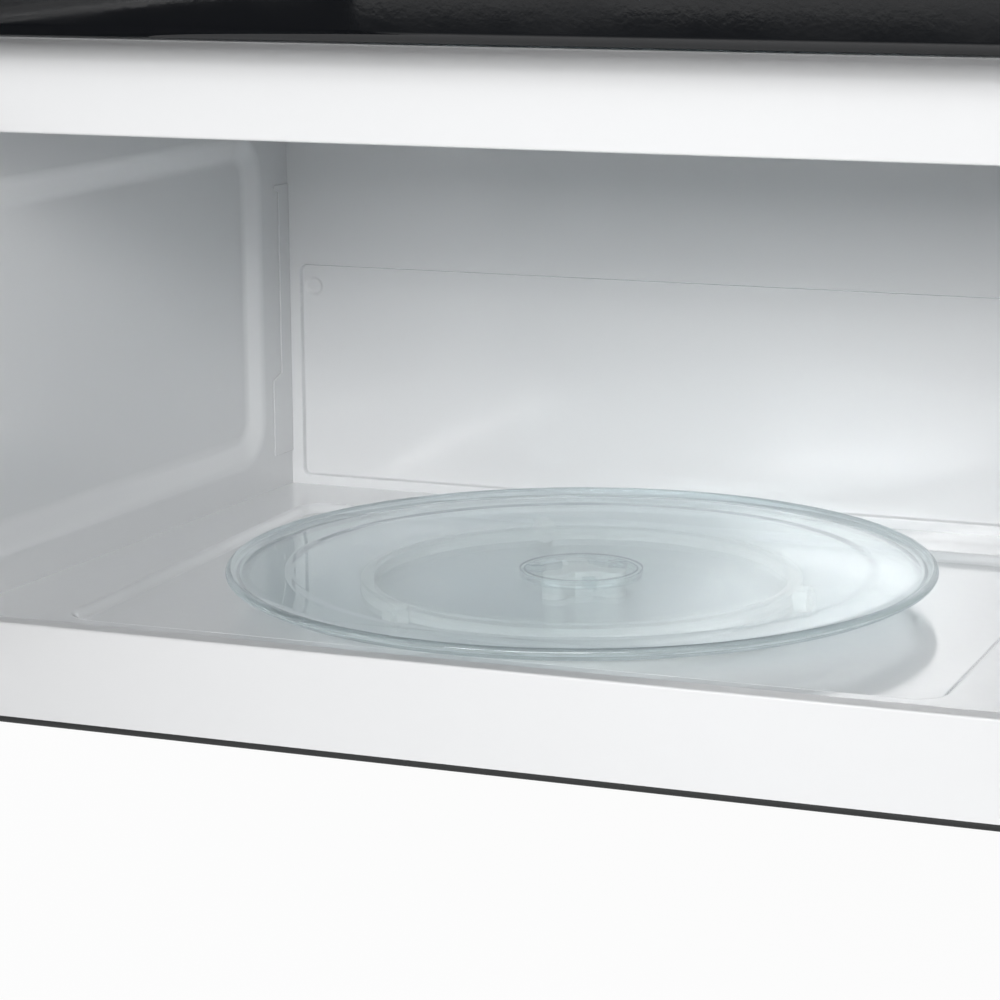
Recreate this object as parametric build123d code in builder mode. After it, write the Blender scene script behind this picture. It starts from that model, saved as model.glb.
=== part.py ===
from build123d import *
import os
from math import hypot

# An over-the-range microwave oven and hood, drawn with its door standing open.
# X runs to the right as a person faces the front, Y runs back to the wall, Z runs up.
# The origin is on the wall, at the middle of the width and level with the underside.

os.makedirs("parts", exist_ok=True)

# ---- overall sizes
WIDTH = 759.0
HEIGHT = 410.0
BODY_DEPTH = 352.0  # from the wall to the face of the front frame
FRONT_DEPTH = 42.0  # how far door, control panel and grille stand in front of that face
DOOR_WIDTH = 571.5
DOOR_INSET = 1.0  # from the case's left side to the door's hinge edge
DOOR_OPEN = 90.0  # how far the door stands open, in degrees

# ---- sheet and moulding thicknesses
CASE_SHEET = 1.0
PLATE_SHEET = 1.5
FRAME_SHEET = 1.2
ENAMEL = 1.0
MOULDING = 2.5

# ---- front frame and the cavity's opening in it
PAN_EDGE = 3.4  # height of the base pan's rim below the front frame
SILL_Z = 45.0
OPENING_WIDTH = 498.0
OPENING_HEIGHT = 208.5
OPENING_CORNER = 5.0
CAVITY_X = -97.0
NECK_DEPTH = 8.0
FRAME_RAIL = 41.5  # from the top of the opening up to the grille
FRAME_OVERLAP = 17.0  # how far the frame reaches up behind the grille

# ---- cavity
CAVITY_DEPTH = 340.0
WALL_FLARE = 24.0  # how much further out each side wall is at the frame than at the back
FLOOR_DROP = 7.5  # from the sill down to the cavity floor
CEILING_RISE = 3.0
WALL_PRESS = 6.0
BACK_PRESS = 2.5
FLOOR_PRESS = 4.0
WINDOW_WIDTH = 80.0
WINDOW_HEIGHT = 50.0

# ---- turntable
TRAY_RADIUS = 160.0
TRAY_BASE_RADIUS = 150.0
TRAY_Y_IN = 168.0  # tray centre behind the face of the front frame
TRAY_HEIGHT = 6.5
TRAY_GLASS = 3.6
TRACK_RADIUS = 104.0
ROLLER_RADIUS = 5.6
ROLLER_WIDTH = 6.0
AXLE_RADIUS = 2.0
RING_WIDTH = 6.0
SHAFT_RADIUS = 3.5
COUPLER_RADIUS = 9.0
LOBE_RADIUS = 6.0
LOBE_REACH = 15.0
LOBE_NECK = 10.0
COUPLER_ROUND = 0.8
HUB_RING_RADIUS = 25.0
HUB_RING_WALL = 3.0
MOTOR_RADIUS = 25.0
MOTOR_HEIGHT = 15.0

# ---- door, in the closed position
DOOR_CLEARANCE = 2.0  # from the frame's face to the back of the door
HINGE_IN = 10.5  # hinge axis inside the door's left edge
HINGE_FORWARD = 18.0  # hinge axis in front of the frame's face
EDGE_GAP = 2.0
DOOR_BOTTOM = 3.0
DOOR_FRONT_WALL = 3.0
DOOR_CORNER = 8.0
WINDOW_PANE = 3.5
GLASS_IN_X = 39.0  # pane inside the width of the oven's opening, at each side
GLASS_IN_Z = 16.25
GLASS_LAP = 6.0
PANE_CORNER = 10.0
WINDOW_CORNER = 8.0
HINGE_WALL = 5.0
CHOKE_LAP_X = 26.0  # choke outside the opening, at each side
CHOKE_LAP_Z = 20.75
CHOKE_CHANNEL = 28.0
CHOKE_DEPTH = 11.5
CHOKE_SHEET = 1.0
COVER_THICKNESS = 1.5
COVER_LAP_CHOKE = 6.0
PIN_RADIUS = 3.0
LEAF_THICKNESS = 3.0
LEAF_HALF_WIDTH = 8.0
LEAF_END = 10.0  # from the door's top or bottom edge to the nearer face of the leaf
LEAF_GAP = 2.0  # between a leaf and the ear or boss on either side of it
EAR_HEIGHT = 5.0
HANDLE_LENGTH = 200.0
HANDLE_WIDTH = 24.0
HANDLE_BAR = 14.0
HANDLE_STAND = 26.0
HANDLE_IN = 41.0  # handle's centre line from the door's free edge
HOOK_THICKNESS = 6.0
HOOK_HEIGHT = 14.0
HOOK_REACH = 22.0
HOOK_NOSE = 5.0
HOOK_IN = 9.0
HOOK_SPACING = 160.0
LATCH_TRAVEL = 4.0

# ---- control panel
KEYPAD_WIDTH = 146.0
KEYPAD_HEIGHT = 168.0
KEYPAD_SHEET = 0.8
DISPLAY_WIDTH = 130.0
DISPLAY_HEIGHT = 34.0

# ---- hood: blower, exhaust and filters
BLOWER_Y = -75.0
BLOWER_UNDER = 12.5  # from the cavity's ceiling up to the blower
BLOWER_OVER = 19.0  # from the blower up to the top panel
WHEEL_SHARE = 0.82  # the wheel's radius as a share of the scroll's
BLOWER_WHEEL_LENGTH = 70.0
MOTOR_SHARE = 0.71  # the motor's radius as a share of the wheel's
BLOWER_MOTOR_LENGTH = 76.0
BLOWER_SHAFT_RADIUS = 4.0
SCROLL_SHEET = 1.5
DUCT_WIDTH = 254.0
DUCT_DEPTH = 82.5
COLLAR_HEIGHT = 22.0
COLLAR_SHEET = 1.2
FLAP_PIN_RADIUS = 1.5
FLAP_SHEET = 1.0
FILTER_WIDTH = 195.0
FILTER_DEPTH = 125.0
FILTER_THICKNESS = 7.0
FILTER_X = 235.0
FILTER_Y = -150.0
FILTER_LEDGE = 5.0
FILTER_RISE = 5.0  # from the top of the base pan's sheet up to the filter's seat

# ---- clearances
FIT = 0.3  # between parts that move past each other, or soft parts and their seats
RUNNING = 0.05  # shaft in a bore, on the radius

# ---- places worked out from the sizes above
RIGHT = WIDTH / 2
LEFT = -RIGHT
FRAME_Y = -BODY_DEPTH
FRAME_BACK = FRAME_Y + FRAME_SHEET
FRONT_Y = FRAME_Y - FRONT_DEPTH
PANEL_BACK = -PLATE_SHEET
INNER_BACK = PANEL_BACK - CASE_SHEET
INNER_TOP = HEIGHT - CASE_SHEET
OPENING_TOP = SILL_Z + OPENING_HEIGHT
OPENING_MID = SILL_Z + OPENING_HEIGHT / 2
GRILLE_Z = OPENING_TOP + FRAME_RAIL
GLASS_WIDTH = OPENING_WIDTH - 2 * GLASS_IN_X
GLASS_HEIGHT = OPENING_HEIGHT - 2 * GLASS_IN_Z
CHOKE_WIDTH = OPENING_WIDTH + 2 * CHOKE_LAP_X
CHOKE_HEIGHT = OPENING_HEIGHT + 2 * CHOKE_LAP_Z
NECK_Y = FRAME_Y + NECK_DEPTH
BACK_WALL_Y = FRAME_Y + CAVITY_DEPTH
FLOOR_Z = SILL_Z - FLOOR_DROP
CEILING_Z = OPENING_TOP + CEILING_RISE
HOOD_FLOOR = CEILING_Z + ENAMEL
SCROLL_RADIUS = (INNER_TOP - HOOD_FLOOR - BLOWER_UNDER - BLOWER_OVER) / 2 - SCROLL_SHEET
BLOWER_Z = HOOD_FLOOR + BLOWER_UNDER + SCROLL_SHEET + SCROLL_RADIUS
BLOWER_WHEEL_RADIUS = WHEEL_SHARE * SCROLL_RADIUS
BLOWER_MOTOR_RADIUS = MOTOR_SHARE * BLOWER_WHEEL_RADIUS
HALF_FRONT = OPENING_WIDTH / 2
HALF_BACK = HALF_FRONT - WALL_FLARE
HALF_NECK = HALF_FRONT - WALL_FLARE * NECK_DEPTH / CAVITY_DEPTH
WALL_RUN = CAVITY_DEPTH - NECK_DEPTH
WALL_LENGTH = hypot(WALL_RUN, HALF_NECK - HALF_BACK)
WALL_HEIGHT = CEILING_Z - FLOOR_Z
TRAY_Y = FRAME_Y + TRAY_Y_IN
PRESSED_FLOOR_Z = FLOOR_Z - FLOOR_PRESS
ROLLER_Z = PRESSED_FLOOR_Z + FIT + ROLLER_RADIUS
TRAY_Z = ROLLER_Z + ROLLER_RADIUS + FIT
SHELF_Z = PRESSED_FLOOR_Z + ENAMEL
PANEL_X = LEFT + DOOR_INSET + DOOR_WIDTH + EDGE_GAP
PANEL_WIDTH = RIGHT - PANEL_X
PANEL_TOP = GRILLE_Z - EDGE_GAP
HINGE_X = LEFT + DOOR_INSET + HINGE_IN
HINGE_Y = FRAME_Y - HINGE_FORWARD
HOOK_X = LEFT + DOOR_INSET + DOOR_WIDTH - HOOK_IN
DOOR_TOP = PANEL_TOP
DOOR_HEIGHT = DOOR_TOP - DOOR_BOTTOM
DOOR_MID = (DOOR_TOP + DOOR_BOTTOM) / 2
LEAF_Z = (DOOR_BOTTOM + LEAF_END, DOOR_TOP - LEAF_END - LEAF_THICKNESS)
HOOK_Z = (DOOR_MID - HOOK_SPACING / 2, DOOR_MID + HOOK_SPACING / 2)


def front_plane(y):
    """A sketch plane at this Y that faces the front: its x is X and its y is Z."""
    return Plane.XZ.offset(-y)


def level(z):
    """A sketch plane at this height that faces up."""
    return Plane.XY.offset(z)


def pan_block(plane, mouth, bottom, depth, grow=0.0):
    """The block that presses a rounded pan with sloping sides into a sheet.

    mouth and bottom are (x, y, width, height, corner radius) on the plane and this deep
    behind it, and grow makes the block larger all round, for the outside of the sheet.
    """
    with BuildPart() as block:
        for (x, y, width, height, corner), offset in ((mouth, 0.0), (bottom, depth + grow)):
            with BuildSketch(plane.offset(offset)):
                with Locations((x, y)):
                    RectangleRounded(width + 2 * grow, height + 2 * grow, corner + grow)
        loft()
    return block.part


# ================================================================ casing

HOOK_TAB_X = 250.0
HOOK_TAB_WIDTH = 25.0
HOOK_TAB_Z = 12.0
HOOK_TAB_REACH = 9.0
HOOK_TAB_RISE = 5.0
PLATE_MARGIN = 8.0
LAG_SPACING_X = 406.4
LAG_SPACING_Z = 300.0
LAG_HOLE_RADIUS = 3.5
PLATE_BELOW_TOP = 6.0
PLATE_HEIGHT = HEIGHT - PLATE_BELOW_TOP

with BuildPart() as wall_plate:
    with BuildSketch(front_plane(0)):
        with Locations((0, PLATE_HEIGHT / 2)):
            Rectangle(WIDTH - 2 * PLATE_MARGIN, PLATE_HEIGHT)
            with GridLocations(LAG_SPACING_X, LAG_SPACING_Z, 2, 2):
                Circle(LAG_HOLE_RADIUS, mode=Mode.SUBTRACT)
    extrude(amount=PLATE_SHEET)
    # two tabs at the foot, turned up at the tip, that the case hangs on
    with BuildSketch(front_plane(PANEL_BACK)):
        with Locations((-HOOK_TAB_X, HOOK_TAB_Z), (HOOK_TAB_X, HOOK_TAB_Z)):
            Rectangle(HOOK_TAB_WIDTH, PLATE_SHEET)
    extrude(amount=HOOK_TAB_REACH)
    tip_z = HOOK_TAB_Z + HOOK_TAB_RISE / 2
    with BuildSketch(front_plane(PANEL_BACK - HOOK_TAB_REACH + PLATE_SHEET)):
        with Locations((-HOOK_TAB_X, tip_z), (HOOK_TAB_X, tip_z)):
            Rectangle(HOOK_TAB_WIDTH, HOOK_TAB_RISE)
    extrude(amount=PLATE_SHEET)
wall_plate.part.label = "wall_plate"
export_step(wall_plate.part, "parts/wall_plate.step")

BACK_SLOT_HEIGHT = 7.0
BACK_SLOT_PLAY = 1.5  # each side of the tab
BACK_SLOT_WIDTH = HOOK_TAB_WIDTH + 2 * BACK_SLOT_PLAY

with BuildPart() as back_panel:
    with BuildSketch(front_plane(PANEL_BACK)):
        with Locations((0, (PAN_EDGE + INNER_TOP) / 2)):
            Rectangle(WIDTH - 2 * CASE_SHEET, INNER_TOP - PAN_EDGE)
        slot_z = HOOK_TAB_Z + PLATE_SHEET / 2 - BACK_SLOT_HEIGHT / 2
        with Locations((-HOOK_TAB_X, slot_z), (HOOK_TAB_X, slot_z)):
            Rectangle(BACK_SLOT_WIDTH, BACK_SLOT_HEIGHT, mode=Mode.SUBTRACT)
    extrude(amount=CASE_SHEET)
back_panel.part.label = "back_panel"
export_step(back_panel.part, "parts/back_panel.step")

DUCT_FORWARD = 27.0  # from the back panel to the duct
DUCT_Y = INNER_BACK - DUCT_FORWARD - DUCT_DEPTH / 2
BOLT_SPACING = 400.0
BOLT_Y = -255.0
BOLT_HOLE_RADIUS = 3.6
TOP_FLANGE = 14.0
TAB_WIDTH = 18.0
TAB_LENGTH = 24.0
SCREW_SPACING = 290.0
SCREW_RADIUS = 1.9
BUSHING_RADIUS = 11.0
BUSHING_IN = 45.0  # from the case's right side, and from the wall
BUSHING_X = RIGHT - BUSHING_IN
BUSHING_Y = -BUSHING_IN

with BuildPart() as top_panel:
    with BuildSketch(level(INNER_TOP)):
        with Locations((0, (FRAME_Y + PANEL_BACK) / 2)):
            Rectangle(WIDTH, PANEL_BACK - FRAME_Y)
        with Locations((0, DUCT_Y)):
            Rectangle(DUCT_WIDTH - 2 * SCROLL_SHEET, DUCT_DEPTH - 2 * SCROLL_SHEET, mode=Mode.SUBTRACT)
        with Locations((-BOLT_SPACING / 2, BOLT_Y), (BOLT_SPACING / 2, BOLT_Y)):
            Circle(BOLT_HOLE_RADIUS, mode=Mode.SUBTRACT)
        with Locations((BUSHING_X, BUSHING_Y)):
            Circle(BUSHING_RADIUS, mode=Mode.SUBTRACT)
    extrude(amount=CASE_SHEET)
    with BuildSketch(front_plane(FRAME_Y + CASE_SHEET)):
        with Locations((0, INNER_TOP - TOP_FLANGE / 2)):
            Rectangle(WIDTH - 2 * CASE_SHEET, TOP_FLANGE)
    extrude(amount=CASE_SHEET)
    # tabs reaching forward that the grille is screwed down to
    with BuildSketch(level(HEIGHT - MOULDING - CASE_SHEET)):
        with Locations((0, FRAME_Y - TAB_LENGTH / 2)):
            with GridLocations(SCREW_SPACING, 0, 3, 1):
                Rectangle(TAB_WIDTH, TAB_LENGTH)
                Circle(SCREW_RADIUS, mode=Mode.SUBTRACT)
    extrude(amount=CASE_SHEET)
top_panel.part.label = "top_panel"
export_step(top_panel.part, "parts/top_panel.step")

SIDE_HEM = 9.0
HEM_NOTCH = 9.0  # how far the hem is cut away above and below each hinge leaf

for side, side_name in ((-1, "left_side_panel"), (1, "right_side_panel")):
    with BuildPart() as side_panel:
        with BuildSketch(level(PAN_EDGE)):
            with Locations((side * (RIGHT - CASE_SHEET / 2), (FRAME_BACK + PANEL_BACK) / 2)):
                Rectangle(CASE_SHEET, PANEL_BACK - FRAME_BACK)
        extrude(amount=INNER_TOP - PAN_EDGE)
        # a hem turned in along the front edge, behind the front frame
        with BuildSketch(level(PAN_EDGE)):
            with Locations((side * (RIGHT - CASE_SHEET - SIDE_HEM / 2), FRAME_BACK + CASE_SHEET / 2)):
                Rectangle(SIDE_HEM, CASE_SHEET)
        extrude(amount=INNER_TOP - TOP_FLANGE - PAN_EDGE)
        for z in LEAF_Z:
            with BuildSketch(level(z - HEM_NOTCH)):
                with Locations((side * (RIGHT - CASE_SHEET - SIDE_HEM / 2), FRAME_BACK + CASE_SHEET / 2)):
                    Rectangle(SIDE_HEM, CASE_SHEET)
            extrude(amount=LEAF_THICKNESS + 2 * HEM_NOTCH, mode=Mode.SUBTRACT)
    side_panel.part.label = side_name
    export_step(side_panel.part, f"parts/{side_name}.step")

PAN_SHEET = 1.0
PAN_ROUND = 2.6
LENS_WIDTH = 96.0
LENS_DEPTH = 58.0
LENS_BEHIND = 62.0  # middle of the lens behind the frame's face
LENS_Y = FRAME_Y + LENS_BEHIND
LENS_LEDGE = 4.0
LENS_CORNER = 8.0

port_width = FILTER_WIDTH - 2 * FILTER_LEDGE
port_depth = FILTER_DEPTH - 2 * FILTER_LEDGE

with BuildPart() as base_pan:
    with BuildSketch(level(0)):
        with Locations((0, (FRAME_Y + PANEL_BACK) / 2)):
            Rectangle(WIDTH, PANEL_BACK - FRAME_Y)
    extrude(amount=PAN_EDGE)
    fillet(base_pan.edges().group_by(Axis.Z)[0], PAN_ROUND)
    with BuildSketch(level(PAN_SHEET)):
        with Locations((0, (FRAME_Y + PANEL_BACK) / 2)):
            Rectangle(WIDTH - 2 * MOULDING, PANEL_BACK - FRAME_Y - 2 * MOULDING)
    extrude(amount=PAN_EDGE, mode=Mode.SUBTRACT)
    # a collar turned up round each filter port, which the filter's rim rests on
    with BuildSketch(level(PAN_SHEET)):
        with Locations((-FILTER_X, FILTER_Y), (FILTER_X, FILTER_Y)):
            Rectangle(port_width + 2 * PAN_SHEET, port_depth + 2 * PAN_SHEET)
    extrude(amount=FILTER_RISE)
    with BuildSketch(level(0)):
        with Locations((-FILTER_X, FILTER_Y), (FILTER_X, FILTER_Y)):
            Rectangle(port_width, port_depth)
    extrude(amount=PAN_SHEET + FILTER_RISE, mode=Mode.SUBTRACT)
    with BuildSketch(level(0)):
        with Locations((0, LENS_Y)):
            RectangleRounded(
                LENS_WIDTH - 2 * LENS_LEDGE, LENS_DEPTH - 2 * LENS_LEDGE, LENS_CORNER - LENS_LEDGE / 2
            )
    extrude(amount=PAN_SHEET, mode=Mode.SUBTRACT)
base_pan.part.label = "base_pan"
export_step(base_pan.part, "parts/base_pan.step")

HOOK_SLOT_PLAY = 4.0  # each side of the hook
HOOK_SLOT_ROOM = 5.0  # above and below the hook together, past its travel
HOOK_SLOT_WIDTH = HOOK_THICKNESS + 2 * HOOK_SLOT_PLAY
HOOK_SLOT_HEIGHT = HOOK_HEIGHT + HOOK_NOSE + LATCH_TRAVEL + HOOK_SLOT_ROOM
HOOK_SLOT_DOWN = HOOK_NOSE / 2 - LATCH_TRAVEL / 2
LEAF_SLOT = 1.0
WIRE_HOLE_RADIUS = 12.0
FRAME_ROUND = 1.08

with BuildPart() as front_frame:
    with BuildSketch(front_plane(FRAME_BACK)):
        with Locations((0, (PAN_EDGE + GRILLE_Z + FRAME_OVERLAP) / 2)):
            Rectangle(WIDTH, GRILLE_Z + FRAME_OVERLAP - PAN_EDGE)
        with Locations((CAVITY_X, OPENING_MID)):
            RectangleRounded(OPENING_WIDTH, OPENING_HEIGHT, OPENING_CORNER, mode=Mode.SUBTRACT)
        for z in HOOK_Z:
            with Locations((HOOK_X, z - HOOK_SLOT_DOWN)):
                Rectangle(HOOK_SLOT_WIDTH, HOOK_SLOT_HEIGHT, mode=Mode.SUBTRACT)
        for z in LEAF_Z:
            with Locations((HINGE_X, z + LEAF_THICKNESS / 2)):
                Rectangle(
                    2 * (LEAF_HALF_WIDTH + LEAF_SLOT), LEAF_THICKNESS + 2 * LEAF_SLOT, mode=Mode.SUBTRACT
                )
        with Locations((PANEL_X + PANEL_WIDTH / 2, OPENING_TOP)):
            Circle(WIRE_HOLE_RADIUS, mode=Mode.SUBTRACT)
    extrude(amount=FRAME_SHEET)
    # the neck that the cavity is welded to
    with BuildSketch(front_plane(NECK_Y)):
        with Locations((CAVITY_X, OPENING_MID)):
            RectangleRounded(
                OPENING_WIDTH + 2 * FRAME_SHEET,
                OPENING_HEIGHT + 2 * FRAME_SHEET,
                OPENING_CORNER + FRAME_SHEET,
            )
            RectangleRounded(OPENING_WIDTH, OPENING_HEIGHT, OPENING_CORNER, mode=Mode.SUBTRACT)
    extrude(amount=NECK_DEPTH)
    # the web that joins the neck to the lower floor and the higher ceiling
    with BuildSketch(front_plane(NECK_Y + ENAMEL)):
        with Locations((CAVITY_X, (FLOOR_Z + CEILING_Z) / 2)):
            Rectangle(2 * (HALF_NECK - WALL_FLARE * ENAMEL / CAVITY_DEPTH), WALL_HEIGHT)
        with Locations((CAVITY_X, OPENING_MID)):
            RectangleRounded(OPENING_WIDTH, OPENING_HEIGHT, OPENING_CORNER, mode=Mode.SUBTRACT)
    extrude(amount=ENAMEL)
    face = front_frame.faces().sort_by(Axis.Y)[0]
    fillet(face.inner_wires().sort_by(SortBy.LENGTH)[-1].edges(), FRAME_ROUND)
front_frame.part.label = "front_frame"
export_step(front_frame.part, "parts/front_frame.step")

FRONT_LEG = 125.0
REAR_LEG = 70.0
SHELF_OUT = 6.0  # from the side of the cavity's pressed wall

with BuildPart() as component_shelf:
    shelf_left = CAVITY_X + HALF_FRONT + WALL_PRESS + SHELF_OUT
    with BuildSketch(level(SHELF_Z)):
        with Locations(((shelf_left + RIGHT - CASE_SHEET) / 2, (FRAME_BACK + INNER_BACK) / 2)):
            Rectangle(RIGHT - CASE_SHEET - shelf_left, INNER_BACK - FRAME_BACK - 2 * CASE_SHEET)
    extrude(amount=CASE_SHEET)
    # legs turned down to the base pan on the cavity side, in front of and behind the grease filter
    with BuildSketch(level(PAN_SHEET)):
        with Locations((shelf_left + CASE_SHEET / 2, FRAME_Y + MOULDING + FRONT_LEG / 2)):
            Rectangle(CASE_SHEET, FRONT_LEG)
        with Locations((shelf_left + CASE_SHEET / 2, INNER_BACK - MOULDING - REAR_LEG / 2)):
            Rectangle(CASE_SHEET, REAR_LEG)
    extrude(amount=SHELF_Z - PAN_SHEET)
component_shelf.part.label = "component_shelf"
export_step(component_shelf.part, "parts/component_shelf.step")

# ================================================================ oven cavity

floor_plane = Plane(origin=(CAVITY_X, TRAY_Y, FLOOR_Z), x_dir=(1, 0, 0), z_dir=(0, 0, -1))
back_plane = Plane(origin=(CAVITY_X, BACK_WALL_Y, 0), x_dir=(-1, 0, 0), z_dir=(0, 1, 0))
left_wall_plane = Plane(
    origin=(CAVITY_X - HALF_BACK, BACK_WALL_Y, 0),
    x_dir=(-WALL_FLARE, -CAVITY_DEPTH, 0),
    z_dir=(-CAVITY_DEPTH, WALL_FLARE, 0),
)
right_wall_plane = Plane(
    origin=(CAVITY_X + HALF_BACK, BACK_WALL_Y, 0),
    x_dir=(-WALL_FLARE, CAVITY_DEPTH, 0),
    z_dir=(CAVITY_DEPTH, WALL_FLARE, 0),
)
floor_outline = [
    (CAVITY_X - HALF_BACK - ENAMEL, BACK_WALL_Y),
    (CAVITY_X + HALF_BACK + ENAMEL, BACK_WALL_Y),
    (CAVITY_X + HALF_NECK + ENAMEL, NECK_Y),
    (CAVITY_X - HALF_NECK - ENAMEL, NECK_Y),
]
FLOOR_PAN_WIDTH = 396.0
FLOOR_PAN_FRONT = 42.0  # front edge of the pressed floor, behind the frame's face
FLOOR_PAN_BACK = 300.0
FLOOR_SLOPE = 6.0
FLOOR_PAN_CORNER = 15.0
SHAFT_HOLE_RADIUS = 6.0

pan_length = FLOOR_PAN_BACK - FLOOR_PAN_FRONT
pan_y = TRAY_Y_IN - (FLOOR_PAN_FRONT + FLOOR_PAN_BACK) / 2
floor_mouth = (0, pan_y, FLOOR_PAN_WIDTH, pan_length, FLOOR_PAN_CORNER)
floor_bottom = (
    0,
    pan_y,
    FLOOR_PAN_WIDTH - 2 * FLOOR_SLOPE,
    pan_length - 2 * FLOOR_SLOPE,
    FLOOR_PAN_CORNER - FLOOR_SLOPE,
)
floor_pan_outside = pan_block(floor_plane, floor_mouth, floor_bottom, FLOOR_PRESS, ENAMEL)
floor_pan_inside = pan_block(floor_plane, floor_mouth, floor_bottom, FLOOR_PRESS)

with BuildPart() as cavity_floor:
    with BuildSketch(level(FLOOR_Z - ENAMEL)):
        with BuildLine():
            Polyline(*floor_outline, close=True)
        make_face()
    extrude(amount=ENAMEL)
    add(floor_pan_outside)
    add(floor_pan_inside, mode=Mode.SUBTRACT)
    with BuildSketch(level(PRESSED_FLOOR_Z - ENAMEL)):
        with Locations((CAVITY_X, TRAY_Y)):
            Circle(SHAFT_HOLE_RADIUS)
    extrude(amount=ENAMEL, mode=Mode.SUBTRACT)
cavity_floor.part.label = "cavity_floor"
export_step(cavity_floor.part, "parts/cavity_floor.step")

LAMP_IN = 99.0  # from the side of the opening
LAMP_BEHIND = 60.0  # behind the frame's face
LAMP_X = CAVITY_X + HALF_FRONT - LAMP_IN
LAMP_Y = FRAME_Y + LAMP_BEHIND
VENT_HOLE_RADIUS = 1.6
VENT_PITCH = 6.0

with BuildPart() as cavity_ceiling:
    with BuildSketch(level(CEILING_Z)):
        with BuildLine():
            Polyline(*floor_outline, close=True)
        make_face()
        with Locations((LAMP_X, LAMP_Y)):
            with GridLocations(VENT_PITCH, VENT_PITCH, 7, 5):
                Circle(VENT_HOLE_RADIUS, mode=Mode.SUBTRACT)
    extrude(amount=ENAMEL)
cavity_ceiling.part.label = "cavity_ceiling"
export_step(cavity_ceiling.part, "parts/cavity_ceiling.step")

WALL_PAN_BACK = 26.0  # back edge of the pressed panel, from the back wall
WALL_PAN_FRONT = 24.0
WALL_PAN_UP = 7.5  # above the sill
WALL_PAN_DOWN = 28.5  # below the top of the opening
WALL_PAN_BOTTOM = SILL_Z + WALL_PAN_UP
WALL_PAN_TOP = OPENING_TOP - WALL_PAN_DOWN
WALL_SLOPE = 17.0
WALL_SLOPE_BACK = 12.5
WALL_PAN_CORNER = 24.0
wall_pan_length = WALL_LENGTH - WALL_PAN_BACK - WALL_PAN_FRONT
wall_pan_height = WALL_PAN_TOP - WALL_PAN_BOTTOM
wall_pan_x = WALL_PAN_BACK + wall_pan_length / 2
wall_pan_z = (WALL_PAN_TOP + WALL_PAN_BOTTOM) / 2
wall_start = WALL_FLARE * ENAMEL / CAVITY_DEPTH  # so that the slanted end stops at the back wall
wall_mouth = (wall_pan_x, wall_pan_z, wall_pan_length, wall_pan_height, WALL_PAN_CORNER)
wall_bottom = (
    wall_pan_x + (WALL_SLOPE_BACK - WALL_SLOPE) / 2,
    wall_pan_z,
    wall_pan_length - WALL_SLOPE_BACK - WALL_SLOPE,
    wall_pan_height - 2 * WALL_SLOPE,
    WALL_PAN_CORNER - WALL_SLOPE,
)
wall_pan_outside = pan_block(left_wall_plane, wall_mouth, wall_bottom, WALL_PRESS, ENAMEL)
wall_pan_inside = pan_block(left_wall_plane, wall_mouth, wall_bottom, WALL_PRESS)

with BuildPart() as cavity_left_wall:
    with BuildSketch(left_wall_plane):
        with Locations(((WALL_LENGTH + wall_start) / 2, (FLOOR_Z + CEILING_Z) / 2)):
            Rectangle(WALL_LENGTH - wall_start, WALL_HEIGHT)
    extrude(amount=ENAMEL)
    add(wall_pan_outside)
    add(wall_pan_inside, mode=Mode.SUBTRACT)
cavity_left_wall.part.label = "cavity_left_wall"
export_step(cavity_left_wall.part, "parts/cavity_left_wall.step")

WAVEGUIDE_IN = 150.0  # middle of the feed window, along the wall from the back
COVER_LAP = 9.0
COVER_TO_SLOPE = 9.0  # from the feed's cover up to the slope of the pressed pan
WAVEGUIDE_Z = WALL_PAN_TOP - WALL_SLOPE - COVER_TO_SLOPE - COVER_LAP - WINDOW_HEIGHT / 2

with BuildPart() as cavity_right_wall:
    mirror(cavity_left_wall.part, about=Plane.YZ.offset(CAVITY_X))
    with BuildSketch(right_wall_plane.offset(WALL_PRESS)):
        with Locations((-WAVEGUIDE_IN, WAVEGUIDE_Z)):
            Rectangle(WINDOW_WIDTH, WINDOW_HEIGHT)
    extrude(amount=ENAMEL, mode=Mode.SUBTRACT)
cavity_right_wall.part.label = "cavity_right_wall"
export_step(cavity_right_wall.part, "parts/cavity_right_wall.step")

BACK_PAN_IN = 6.0  # inside each side wall
BACK_PAN_HALF = HALF_BACK - BACK_PAN_IN
BACK_PAN_DOWN = 99.5  # below the top of the opening
BACK_PAN_UP = 4.5  # above the cavity floor
BACK_PAN_TOP = OPENING_TOP - BACK_PAN_DOWN
BACK_PAN_BOTTOM = FLOOR_Z + BACK_PAN_UP
BACK_PAN_CORNER = 4.0
BACK_SLOPE = 1.4
DIMPLE_RADIUS = 5.4
DIMPLE_DEPTH = 0.7
DIMPLE_IN = 7.2
DIMPLE_DOWN = 12.0

back_height = BACK_PAN_TOP - BACK_PAN_BOTTOM
back_z = (BACK_PAN_TOP + BACK_PAN_BOTTOM) / 2
back_mouth = (0, back_z, 2 * BACK_PAN_HALF, back_height, BACK_PAN_CORNER)
back_bottom = (
    0,
    back_z,
    2 * (BACK_PAN_HALF - BACK_SLOPE),
    back_height - 2 * BACK_SLOPE,
    BACK_PAN_CORNER - BACK_SLOPE,
)
back_pan_outside = pan_block(back_plane, back_mouth, back_bottom, BACK_PRESS, ENAMEL)
back_pan_inside = pan_block(back_plane, back_mouth, back_bottom, BACK_PRESS)

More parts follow.
